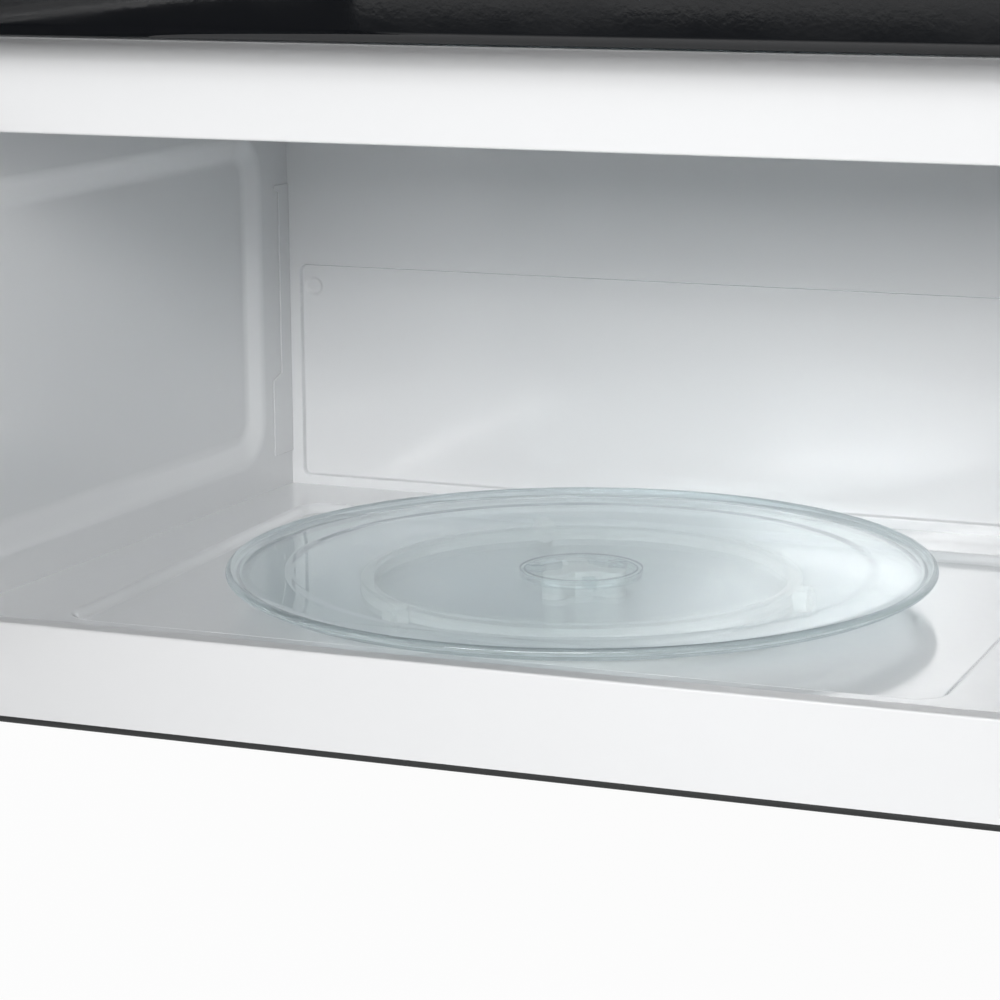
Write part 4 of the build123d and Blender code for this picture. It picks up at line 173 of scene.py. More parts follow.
def bend_steps(
    run: float, depth: float, radius: float, count: int = 5
) -> list[tuple[float, float]]:
    """Work out the insets that press a sloping side with a soft bend at its top and foot.

    Args:
        run: how far in the side reaches.
        depth: how deep it goes.
        radius: the length along the surface of each bend.
        count: steps in each bend.

    Returns:
        Pairs of inset and depth, from the rim to the foot.
    """
    slope = math.atan2(depth, run)
    straight = math.hypot(run, depth) - radius
    angles = [(i + 0.5) / count * slope for i in range(count)]
    arc = radius / count
    steps = [(arc * math.cos(a), arc * math.sin(a)) for a in angles]
    steps.append((straight * math.cos(slope), straight * math.sin(slope)))
    steps += [(arc * math.cos(a), arc * math.sin(a)) for a in reversed(angles)]
    in_scale = run / sum(s[0] for s in steps)
    down_scale = depth / sum(s[1] for s in steps)
    return [(i * in_scale, d * down_scale) for i, d in steps]


def press_face(
    bm: bmesh.types.BMesh, face: bmesh.types.BMFace, steps: Sequence[tuple[float, float]]
) -> bmesh.types.BMFace:
    """Press a face down in steps of inset and depth, and return the pan's flat bottom."""
    for inset, depth in steps:
        bmesh.ops.inset_individual(
            bm, faces=[face], thickness=inset, depth=-depth, use_even_offset=True
        )
    return face


def corners_of(
    centre: tuple[float, float], half: tuple[float, float], depth: float
) -> list[tuple[float, float, float]]:
    """List the corners of a flat rectangle in order, from the lower left."""
    return [
        (centre[0] + sx * half[0], centre[1] + sy * half[1], depth)
        for sx, sy in ((-1, -1), (1, -1), (1, 1), (-1, 1))
    ]


def free_loop(
    bm: bmesh.types.BMesh, corners: Sequence[tuple[float, float, float]]
) -> list[bmesh.types.BMEdge]:
    """Draw a closed loop of edges through these corners, with no face in it."""
    face = bm.faces.new([bm.verts.new(corner) for corner in corners])
    edges = list(face.edges)
    bm.faces.remove(face)
    return edges


def lay_sheet(
    bm: bmesh.types.BMesh,
    rim: Sequence[bmesh.types.BMEdge],
    corners: Sequence[tuple[float, float, float]],
) -> None:
    """Lay a flat sheet round a pressed panel, with every face of it turned up.

    Args:
        bm: the mesh, which holds the panel.
        rim: the panel's rim.
        corners: the sheet's corners.
    """
    loop_between(bm, list(rim) + free_loop(bm, corners))
    bmesh.ops.recalc_face_normals(bm, faces=bm.faces[:])
    if sum(face.normal.z * face.calc_area() for face in bm.faces) < 0:
        bmesh.ops.reverse_faces(bm, faces=bm.faces[:])


def sheet_object(
    name: str, bm: bmesh.types.BMesh, thickness: float, finish: bpy.types.Material
) -> bpy.types.Object:
    """Turn a pressed sheet into an object with its thickness behind its face.

    Args:
        name: the object's name.
        bm: the sheet's front face.
        thickness: the metal's thickness.
        finish: its enamel.

    Returns:
        The object.
    """
    piece = new_mesh_object(name, bm)
    wall = piece.modifiers.new("sheet", "SOLIDIFY")
    wall.thickness = thickness
    wall.offset = -1.0
    shade_smooth(piece)
    dress(piece, finish)
    return piece


def upright(place: Sequence[float]) -> Matrix:
    """Stand a flat drawing up, facing the front, with its origin at a place."""
    return Matrix.Translation(place) @ Matrix.Rotation(math.radians(90.0), 4, "X")


def math_node(
    tree: bpy.types.NodeTree, operation: str, *operands: bpy.types.NodeSocket | float
) -> bpy.types.NodeSocket:
    """Add a Math node.

    Args:
        tree: the tree that takes it.
        operation: what it works out.
        *operands: the sockets to link or the plain numbers to set, in order.

    Returns:
        The node's result.
    """
    node = tree.nodes.new("ShaderNodeMath")
    node.operation = operation
    for socket, operand in zip(node.inputs, operands):
        if isinstance(operand, float):
            socket.default_value = operand
        else:
            tree.links.new(operand, socket)
    return node.outputs[0]


# ---------------------------------------------------------------- shared shader effects

class Effects:
    """Shader node groups that several finishes share, each built once."""

    def __init__(self) -> None:
        """Build the groups."""
        self.peel = self._peel()
        self.drift = self._drift()
        self.tone = self._tone()
        self.grain = self._grain()
        self.spangle = self._spangle()
        self.dots = self._dots()
        self.mesh = self._mesh()

    @staticmethod
    def _start(
        name: str, numbers: dict[str, float], outputs: dict[str, str], colour: bool = False
    ) -> tuple[bpy.types.NodeTree, bpy.types.Node, bpy.types.Node, bpy.types.Node]:
        """Start a group with number inputs, its outputs and Object coordinates.

        Args:
            name: the group's name.
            numbers: each number input's name and default.
            outputs: each output's name and socket type.
            colour: whether it takes a Color too.

        Returns:
            The tree, its input node, its output node and its coordinate node.
        """
        tree = bpy.data.node_groups.new(name, "ShaderNodeTree")
        if colour:
            tree.interface.new_socket("Color", in_out="INPUT", socket_type="NodeSocketColor")
        for key, value in numbers.items():
            socket = tree.interface.new_socket(key, in_out="INPUT", socket_type="NodeSocketFloat")
            socket.default_value = value
        for key, kind in outputs.items():
            tree.interface.new_socket(key, in_out="OUTPUT", socket_type=kind)
        group_in = tree.nodes.new("NodeGroupInput")
        group_out = tree.nodes.new("NodeGroupOutput")
        coords = tree.nodes.new("ShaderNodeTexCoord")
        return tree, group_in, group_out, coords

    @staticmethod
    def _noise(
        tree: bpy.types.NodeTree,
        vector: bpy.types.NodeSocket,
        scale: bpy.types.NodeSocket,
        detail: float,
    ) -> bpy.types.NodeSocket:
        """Add a noise texture and return its value."""
        noise = tree.nodes.new("ShaderNodeTexNoise")
        noise.inputs["Detail"].default_value = detail
        tree.links.new(vector, noise.inputs["Vector"])
        tree.links.new(scale, noise.inputs["Scale"])
        return noise.outputs["Fac"]

    def _peel(self) -> bpy.types.NodeTree:
        """The faint waviness of sprayed enamel or moulded plastic."""
        tree, group_in, group_out, coords = self._start(
            "Surface waviness", {"Scale": 250.0, "Strength": 0.1}, {"Normal": "NodeSocketVector"}
        )
        noise = self._noise(tree, coords.outputs["Object"], group_in.outputs["Scale"], 2.0)
        bump = tree.nodes.new("ShaderNodeBump")
        bump.inputs["Distance"].default_value = 0.0004
        tree.links.new(group_in.outputs["Strength"], bump.inputs["Strength"])
        tree.links.new(noise, bump.inputs["Height"])
        tree.links.new(bump.outputs["Normal"], group_out.inputs["Normal"])
        return tree

    def _drift(self) -> bpy.types.NodeTree:
        """A value that drifts about its base over the surface, for roughness."""
        tree, group_in, group_out, coords = self._start(
            "Value drift", {"Base": 0.3, "Amount": 0.1, "Scale": 12.0}, {"Value": "NodeSocketFloat"}
        )
        noise = self._noise(tree, coords.outputs["Object"], group_in.outputs["Scale"], 4.0)
        middle = math_node(tree, "SUBTRACT", noise, 0.5)
        value = math_node(
            tree, "MULTIPLY_ADD", middle, group_in.outputs["Amount"], group_in.outputs["Base"]
        )
        tree.links.new(value, group_out.inputs["Value"])
        return tree

    def _tone(self) -> bpy.types.NodeTree:
        """A colour with slow, slight changes of lightness."""
        tree, group_in, group_out, coords = self._start(
            "Tone variation",
            {"Amount": 0.05, "Scale": 8.0},
            {"Color": "NodeSocketColor"},
            colour=True,
        )
        noise = self._noise(tree, coords.outputs["Object"], group_in.outputs["Scale"], 3.0)
        spread = tree.nodes.new("ShaderNodeMapRange")
        tree.links.new(noise, spread.inputs["Value"])
        lowest = math_node(tree, "SUBTRACT", 1.0, group_in.outputs["Amount"])
        tree.links.new(lowest, spread.inputs["To Min"])
        mix = tree.nodes.new("ShaderNodeVectorMath")
        mix.operation = "SCALE"
        tree.links.new(group_in.outputs["Color"], mix.inputs[0])
        tree.links.new(spread.outputs["Result"], mix.inputs["Scale"])
        tree.links.new(mix.outputs["Vector"], group_out.inputs["Color"])
        return tree

    def _grain(self) -> bpy.types.NodeTree:
        """Fine parallel lines along X, as on rolled or brushed metal."""
        tree, group_in, group_out, coords = self._start(
            "Rolled grain", {"Scale": 900.0, "Stretch": 0.03}, {"Height": "NodeSocketFloat"}
        )
        join = tree.nodes.new("ShaderNodeCombineXYZ")
        join.inputs["Y"].default_value = 1.0
        join.inputs["Z"].default_value = 1.0
        tree.links.new(group_in.outputs["Stretch"], join.inputs["X"])
        squeeze = tree.nodes.new("ShaderNodeVectorMath")
        squeeze.operation = "MULTIPLY"
        tree.links.new(coords.outputs["Object"], squeeze.inputs[0])
        tree.links.new(join.outputs["Vector"], squeeze.inputs[1])
        noise = self._noise(tree, squeeze.outputs["Vector"], group_in.outputs["Scale"], 2.0)
        tree.links.new(noise, group_out.inputs["Height"])
        return tree

    def _spangle(self) -> bpy.types.NodeTree:
        """The crystal flakes of hot-dipped zinc."""
        tree, group_in, group_out, coords = self._start(
            "Zinc flakes", {"Scale": 90.0}, {"Value": "NodeSocketFloat"}
        )
        cells = tree.nodes.new("ShaderNodeTexVoronoi")
        tree.links.new(coords.outputs["Object"], cells.inputs["Vector"])
        tree.links.new(group_in.outputs["Scale"], cells.inputs["Scale"])
        split = tree.nodes.new("ShaderNodeSeparateColor")
        tree.links.new(cells.outputs["Color"], split.inputs["Color"])
        tree.links.new(split.outputs["Red"], group_out.inputs["Value"])
        return tree

    def _dots(self) -> bpy.types.NodeTree:
        """Rows of round holes across Y and Z, as a mask that is 1 inside a hole."""
        tree, group_in, group_out, coords = self._start(
            "Punched holes", {"Pitch": 0.002, "Radius": 0.32}, {"Mask": "NodeSocketFloat"}
        )
        split = tree.nodes.new("ShaderNodeSeparateXYZ")
        tree.links.new(coords.outputs["Object"], split.inputs["Vector"])
        halves = []
        for axis in ("Y", "Z"):
            cells = math_node(tree, "DIVIDE", split.outputs[axis], group_in.outputs["Pitch"])
            halves.append(math_node(tree, "SUBTRACT", math_node(tree, "FRACT", cells), 0.5))
        join = tree.nodes.new("ShaderNodeCombineXYZ")
        tree.links.new(halves[0], join.inputs["X"])
        tree.links.new(halves[1], join.inputs["Y"])
        length = tree.nodes.new("ShaderNodeVectorMath")
        length.operation = "LENGTH"
        tree.links.new(join.outputs["Vector"], length.inputs[0])
        inside = math_node(
            tree, "LESS_THAN", length.outputs["Value"], group_in.outputs["Radius"]
        )
        tree.links.new(inside, group_out.inputs["Mask"])
        return tree

    def _mesh(self) -> bpy.types.NodeTree:
        """Crossed strands set on the diagonal across X and Y, 0 on a strand and 1 between them."""
        tree, group_in, group_out, coords = self._start(
            "Crossed strands", {"Pitch": 0.004}, {"Gap": "NodeSocketFloat"}
        )
        split = tree.nodes.new("ShaderNodeSeparateXYZ")
        tree.links.new(coords.outputs["Object"], split.inputs["Vector"])
        rate = math_node(tree, "DIVIDE", math.pi, group_in.outputs["Pitch"])
        waves = []
        for operation in ("ADD", "SUBTRACT"):
            across = math_node(tree, operation, split.outputs["X"], split.outputs["Y"])
            wave = math_node(tree, "SINE", math_node(tree, "MULTIPLY", across, rate))
            waves.append(math_node(tree, "ABSOLUTE", wave))
        tree.links.new(math_node(tree, "MINIMUM", *waves), group_out.inputs["Gap"])
        return tree


EFFECTS = Effects()


class Shader:
    """One material with a Principled BSDF, and short ways to wire effects to it."""

    def __init__(self, name: str) -> None:
        """Make the material.

        Args:
            name: its name.
        """
        self.material = bpy.data.materials.new(name)
        self.material.use_nodes = True
        self.tree = self.material.node_tree
        self.bsdf = self.tree.nodes["Principled BSDF"]

    def plain(self, **values: object) -> "Shader":
        """Set constants on the shader's own sockets, with spaces written as underscores."""
        for key, value in values.items():
            self.bsdf.inputs[key.replace("_", " ")].default_value = value
        return self

    def effect(self, group: bpy.types.NodeTree, **values: float) -> bpy.types.Node:
        """Place a shared effect in this material.

        Args:
            group: the node group.
            **values: its inputs.

        Returns:
            The group node.
        """
        node = self.tree.nodes.new("ShaderNodeGroup")
        node.node_tree = group
        for key, value in values.items():
            node.inputs[key].default_value = value
        return node

    def feed(self, source: bpy.types.NodeSocket, target: str) -> None:
        """Link a socket to the shader."""
        self.tree.links.new(source, self.bsdf.inputs[target])

    def bump(self, height: bpy.types.NodeSocket, strength: float, distance: float) -> None:
        """Raise the surface by a height map."""
        node = self.tree.nodes.new("ShaderNodeBump")
        node.inputs["Strength"].default_value = strength
        node.inputs["Distance"].default_value = distance
        self.tree.links.new(height, node.inputs["Height"])
        self.feed(node.outputs["Normal"], "Normal")

    def tinted(
        self, colour: tuple[float, float, float], amount: float, scale: float
    ) -> bpy.types.NodeSocket:
        """Colour the surface, slightly darker in places, and return the colour socket."""
        tone = self.effect(EFFECTS.tone, Amount=amount, Scale=scale)
        tone.inputs["Color"].default_value = rgba(*colour)
        self.feed(tone.outputs["Color"], "Base Color")
        return tone.outputs["Color"]

    def worn(self, base: float, amount: float, scale: float) -> None:
        """Let the roughness drift about its base over the surface."""
        drift = self.effect(EFFECTS.drift, Base=base, Amount=amount, Scale=scale)
        self.feed(drift.outputs["Value"], "Roughness")

    def wavy(self, scale: float, strength: float) -> None:
        """Give the surface its faint waviness."""
        peel = self.effect(EFFECTS.peel, Scale=scale, Strength=strength)
        self.feed(peel.outputs["Normal"], "Normal")

    def mixed(
        self, mask: bpy.types.NodeSocket, low: tuple[float, ...], high: tuple[float, ...]
    ) -> bpy.types.NodeSocket:
        """Mix two colours by a mask and return the colour socket."""
        mix = self.tree.nodes.new("ShaderNodeMix")
        mix.data_type = "RGBA"
        mix.inputs["A"].default_value = low
        mix.inputs["B"].default_value = high
        self.tree.links.new(mask, mix.inputs["Factor"])
        return mix.outputs["Result"]


def rgba(red: float, green: float, blue: float) -> tuple[float, float, float, float]:
    """Write a colour with full alpha."""
    return (red, green, blue, 1.0)


# ---------------------------------------------------------------- finishes

@dataclass(frozen=True)
class Enamel:
    """Baked white enamel or gloss paint on sheet metal."""

    name: str
    colour: tuple[float, float, float]
    roughness: float
    waviness: float = 0.06
    wave_scale: float = 180.0
    coat: float = 0.25

    def build(self) -> bpy.types.Material:
        """Make the material."""
        shader = Shader(self.name).plain(
            Coat_Roughness=0.12, Coat_Weight=self.coat, IOR=1.5
        )
        shader.tinted(self.colour, amount=0.035, scale=5.0)
        shader.worn(self.roughness, amount=0.08, scale=14.0)
        shader.wavy(scale=self.wave_scale, strength=self.waviness)
        return shader.material


@dataclass(frozen=True)
class Moulding:
    """Moulded plastic, glossy or grained."""

    name: str
    colour: tuple[float, float, float]
    roughness: float
    grain: float = 0.05
    grain_scale: float = 400.0

    def build(self) -> bpy.types.Material:
        """Make the material."""
        shader = Shader(self.name).plain(IOR=1.5)
        shader.tinted(self.colour, amount=0.12, scale=20.0)
        shader.worn(self.roughness, amount=0.1, scale=25.0)
        shader.wavy(scale=self.grain_scale, strength=self.grain)
        return shader.material


@dataclass(frozen=True)
class BareMetal:
    """Rolled, drawn or cast metal with a fine grain."""

    name: str
    colour: tuple[float, float, float]
    roughness: float
    grain: float = 0.15

    def build(self) -> bpy.types.Material:
        """Make the material."""
        shader = Shader(self.name).plain(Metallic=1.0)
        shader.tinted(self.colour, amount=0.12, scale=30.0)
        shader.worn(self.roughness, amount=0.15, scale=40.0)
        grain = shader.effect(EFFECTS.grain)
        shader.bump(grain.outputs["Height"], strength=self.grain, distance=0.0003)
        return shader.material


@dataclass(frozen=True)
class Galvanised:
    """Zinc-coated sheet with its crystal flakes."""

    name: str
    flake_scale: float = 90.0

    def build(self) -> bpy.types.Material:
        """Make the material."""
        shader = Shader(self.name).plain(Metallic=1.0)
        flakes = shader.effect(EFFECTS.spangle, Scale=self.flake_scale)
        colour = shader.mixed(
            flakes.outputs["Value"], rgba(0.56, 0.58, 0.60), rgba(0.66, 0.68, 0.70)
        )
        shader.feed(colour, "Base Color")
        spread = shader.tree.nodes.new("ShaderNodeMapRange")
        spread.inputs["To Min"].default_value = 0.34
        spread.inputs["To Max"].default_value = 0.46
        shader.tree.links.new(flakes.outputs["Value"], spread.inputs["Value"])
        shader.feed(spread.outputs["Result"], "Roughness")
        shader.wavy(scale=120.0, strength=0.08)
        return shader.material


@dataclass(frozen=True)
class Glass:
    """Clear or tinted glass, which lets lamplight through to what lies under it."""

    name: str
    colour: tuple[float, float, float]
    roughness: float = 0.0
    ior: float = 1.5
    clear: float = 0.0
    shadow: float = 0.8

    def build(self) -> bpy.types.Material:
        """Make the material."""
        shader = Shader(self.name).plain(
            Transmission_Weight=1.0,
            Base_Color=rgba(*self.colour),
            IOR=self.ior,
            Roughness=self.roughness,
        )
        shader.wavy(scale=30.0, strength=0.03)
        tree = shader.tree
        path = tree.nodes.new("ShaderNodeLightPath")
        share = math_node(
            tree,
            "MULTIPLY_ADD",
            path.outputs["Is Shadow Ray"],
            self.shadow - self.clear,
            self.clear,
        )
        through = tree.nodes.new("ShaderNodeBsdfTransparent")
        through.inputs["Color"].default_value = rgba(*self.colour)
        mix = tree.nodes.new("ShaderNodeMixShader")
        tree.links.new(share, mix.inputs[0])
        tree.links.new(shader.bsdf.outputs[0], mix.inputs[1])
        tree.links.new(through.outputs[0], mix.inputs[2])
        tree.links.new(mix.outputs[0], tree.nodes["Material Output"].inputs["Surface"])
        return shader.material


@dataclass(frozen=True)
class PunchedScreen:
    """Sheet metal with a fine field of holes in black, the holes only a mask with painted shade in
    them.
    """

    name: str
    pitch: float = 0.0021

    def build(self) -> bpy.types.Material:
        """Make the material."""
        shader = Shader(self.name).plain(Roughness=0.4)
        holes = shader.effect(EFFECTS.dots, Pitch=self.pitch, Radius=0.33)
        # painted shade: the holes are not cut, so they are coloured near black for the darkness
        # seen through them
        colour = shader.mixed(
            holes.outputs["Mask"], rgba(0.045, 0.045, 0.048), rgba(0.004, 0.004, 0.005)
        )
        shader.feed(colour, "Base Color")
        shader.bump(holes.outputs["Mask"], strength=0.5, distance=-0.0004)
        return shader.material


@dataclass(frozen=True)
class WireMesh:
    """Layers of aluminium strands, with painted shade in the gaps between them."""

    name: str
    pitch: float = 0.0042

    def build(self) -> bpy.types.Material:
        """Make the material."""
        shader = Shader(self.name).plain(Metallic=1.0, Roughness=0.42)
        strands = shader.effect(EFFECTS.mesh, Pitch=self.pitch)
        edge = shader.tree.nodes.new("ShaderNodeMapRange")
        edge.inputs["From Min"].default_value = 0.45
        edge.inputs["From Max"].default_value = 0.65
        shader.tree.links.new(strands.outputs["Gap"], edge.inputs["Value"])
        # painted shade: the gaps between the strands are coloured dark for the shade of the layers
        # behind them
        colour = shader.mixed(
            edge.outputs["Result"], rgba(0.66, 0.67, 0.68), rgba(0.10, 0.10, 0.105)
        )
        shader.feed(colour, "Base Color")
        shader.bump(strands.outputs["Gap"], strength=0.9, distance=-0.0012)
        return shader.material


@dataclass(frozen=True)
class Felt:
    """Charcoal felt or another dark fibrous mat."""

    name: str
    colour: tuple[float, float, float]

    def build(self) -> bpy.types.Material:
        """Make the material."""
        shader = Shader(self.name).plain(Roughness=0.95, Sheen_Weight=0.3)
        shader.tinted(self.colour, amount=0.5, scale=220.0)
        shader.wavy(scale=700.0, strength=0.9)
        return shader.material


class Finishes:
    """Every finish on the oven, made once."""

    def __init__(self) -> None:
        """Build the materials."""
        self.cavity = Enamel(
            "cavity enamel", (0.745, 0.755, 0.765), roughness=0.16, coat=0.6
        ).build()
        # painted shade: the frame is the same white as the cavity, set darker here to hold down the
        # stronger lamplight on its face
        self.frame = Enamel(
            "frame enamel", (0.65, 0.655, 0.66), roughness=0.30, coat=0.15
        ).build()
        self.case = Enamel(
            "case paint",
            (0.006, 0.007, 0.007),
            roughness=0.48,
            waviness=0.25,
            wave_scale=900.0,
            coat=0.0,
        ).build()
        self.zinc = Galvanised("zinc sheet", flake_scale=260.0).build()
        self.gloss_black = Moulding(
            "gloss black plastic", (0.002, 0.0025, 0.0035), roughness=0.05, grain=0.01
        ).build()
        self.matt_black = Moulding(
            "matt black plastic", (0.012, 0.012, 0.013), roughness=0.45, grain=0.3
        ).build()
        self.grey = Moulding("grey plastic", (0.45, 0.46, 0.47), roughness=0.5, grain=0.2).build()
        self.white = Moulding(
            "white plastic", (0.80, 0.80, 0.78), roughness=0.4, grain=0.1
        ).build()
        self.keypad = Moulding(
            "keypad membrane", (0.008, 0.008, 0.009), roughness=0.5, grain=0.25, grain_scale=900.0
        ).build()
        self.key = Moulding(
            "key pads", (0.085, 0.087, 0.09), roughness=0.45, grain=0.2, grain_scale=900.0
        ).build()
        self.legend = Moulding("legend ink", (0.80, 0.81, 0.82), roughness=0.5, grain=0.02).build()
        self.lit = self._lit_display()
        self.steel = BareMetal("bare steel", (0.55, 0.56, 0.57), roughness=0.35).build()
        self.aluminium = BareMetal("aluminium", (0.76, 0.77, 0.78), roughness=0.38).build()
        self.copper = BareMetal("varnished wire", (0.62, 0.30, 0.14), roughness=0.35).build()
        self.tray = Glass("tray glass", (0.90, 0.95, 0.96), clear=0.3).build()
        self.lens = Glass("lamp lens", (0.96, 0.96, 0.95), roughness=0.35).build()
        self.pane = Moulding(
            "tinted pane", (0.012, 0.012, 0.014), roughness=0.03, grain=0.01
        ).build()
        self.screen = PunchedScreen("punched screen").build()
        self.wire = WireMesh("filter mesh").build()
        self.felt = Felt("charcoal felt", (0.03, 0.03, 0.03)).build()
        self.rubber = Moulding("rubber", (0.02, 0.02, 0.02), roughness=0.8, grain=0.4).build()
        self.laminate = Moulding(
            "circuit laminate", (0.03, 0.16, 0.06), roughness=0.45, grain=0.15
        ).build()
        self.mica = Felt("mica sheet", (0.52, 0.48, 0.40)).build()

    @staticmethod
    def _lit_display() -> bpy.types.Material:
        """The display's segments, faintly lit."""
        shader = Shader("display segments").plain(Roughness=0.4, Emission_Strength=0.6)
        glow = shader.tinted((0.12, 0.75, 0.62), amount=0.2, scale=90.0)
        shader.feed(glow, "Emission Color")
        return shader.material


# ---------------------------------------------------------------- the oven cavity

def node_box(name: str) -> tuple[Vector, Vector]:
    """Give a CAD node's lowest and highest corners."""
    low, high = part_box(name)
    return Vector(low), Vector(high)


@dataclass
class CavityWall:
    """A slanted side wall, pressed outwards into a shallow panel with soft bends.

    The sheet is drawn in its own plane, x from the back towards the front, y up and z into
    the oven, and then set along the CAD wall.
    """

    flare: float = 24.0 * MM
    cavity_depth: float = 340.0 * MM
    neck_depth: float = 8.0 * MM
    bottom_rise: float = 15.0 * MM
    pan_height: float = 172.5 * MM
    pan_back: float = 26.0 * MM
    pan_front: float = 24.0 * MM
    press: float = 6.0 * MM
    slope: float = 17.0 * MM
    back_slope: float = 12.5 * MM
    bend: float = 8.0 * MM
    corner: float = 24.0 * MM
    sheet: float = 1.0 * MM
    window: tuple[float, float] = (80.0 * MM, 50.0 * MM)
    window_in: float = 150.0 * MM
    window_up: float = 127.5 * MM
    corner_steps: int = 10

    @property
    def angle(self) -> float:
        """Give the wall's slant."""
        return math.atan2(self.flare, self.cavity_depth)

    def stand(self, side: Side, base_z: float) -> Matrix:
        """Work out where a wall's own plane stands in the oven.

        Args:
            side: which wall.
            base_z: the height of the plane's foot.

        Returns:
            The matrix that takes the drawn wall there.
        """
        low, high = node_box("cavity_back_wall")
        sign = side.value
        axes = Matrix((
            (sign * math.sin(self.angle), 0.0, -sign * math.cos(self.angle)),
            (-math.cos(self.angle), 0.0, -math.sin(self.angle)),
            (0.0, 1.0, 0.0),
        )).to_4x4()
        back_x = (low.x if side is Side.LEFT else high.x) - sign * self.sheet
        return Matrix.Translation((back_x, low.y, base_z)) @ axes

    def build(self, side: Side, finish: bpy.types.Material) -> None:
        """Make one wall.

        Args:
            side: which wall.
            finish: its enamel.
        """
        node = f"cavity_{side.name.lower()}_wall"
        low, high = node_box(node)
        length = (self.cavity_depth - self.neck_depth) / math.cos(self.angle)
        height = high.z - low.z
        bm = bmesh.new()
        pan_length = length - self.pan_back - self.pan_front
        centre = (self.pan_back + pan_length / 2, self.bottom_rise + self.pan_height / 2)
        face = rounded_face(
            bm, centre, (pan_length, self.pan_height), self.corner, self.corner_steps
        )
        rim = list(face.edges)
        bottom = press_face(bm, face, bend_steps(self.slope, self.press, self.bend))
        stretch = (self.back_slope - self.slope) / self.press
        for vert in bm.verts:
            if vert.co.x < centre[0]:
                vert.co.x += stretch * -vert.co.z
        if side is Side.RIGHT:
            self._cut_window(bm, bottom)
        lay_sheet(bm, rim, corners_of((length / 2, height / 2), (length / 2, height / 2), 0.0))
        stand = self.stand(side, low.z)
        bmesh.ops.transform(bm, matrix=stand, verts=bm.verts[:])
        if stand.determinant() < 0:
            bmesh.ops.reverse_faces(bm, faces=bm.faces[:])
        piece = sheet_object(f"{node}_enamelled", bm, self.sheet, finish)
        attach(piece, "case")
        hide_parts(node)

    def _cut_window(self, bm: bmesh.types.BMesh, bottom: bmesh.types.BMFace) -> None:
        """Cut the microwave feed's window through the pan's flat bottom."""
        edges = list(bottom.edges)
        depth = bottom.verts[0].co.z
        bm.faces.remove(bottom)
        half = (self.window[0] / 2, self.window[1] / 2)
        edges += free_loop(bm, corners_of((self.window_in, self.window_up), half, depth))
        loop_between(bm, edges)


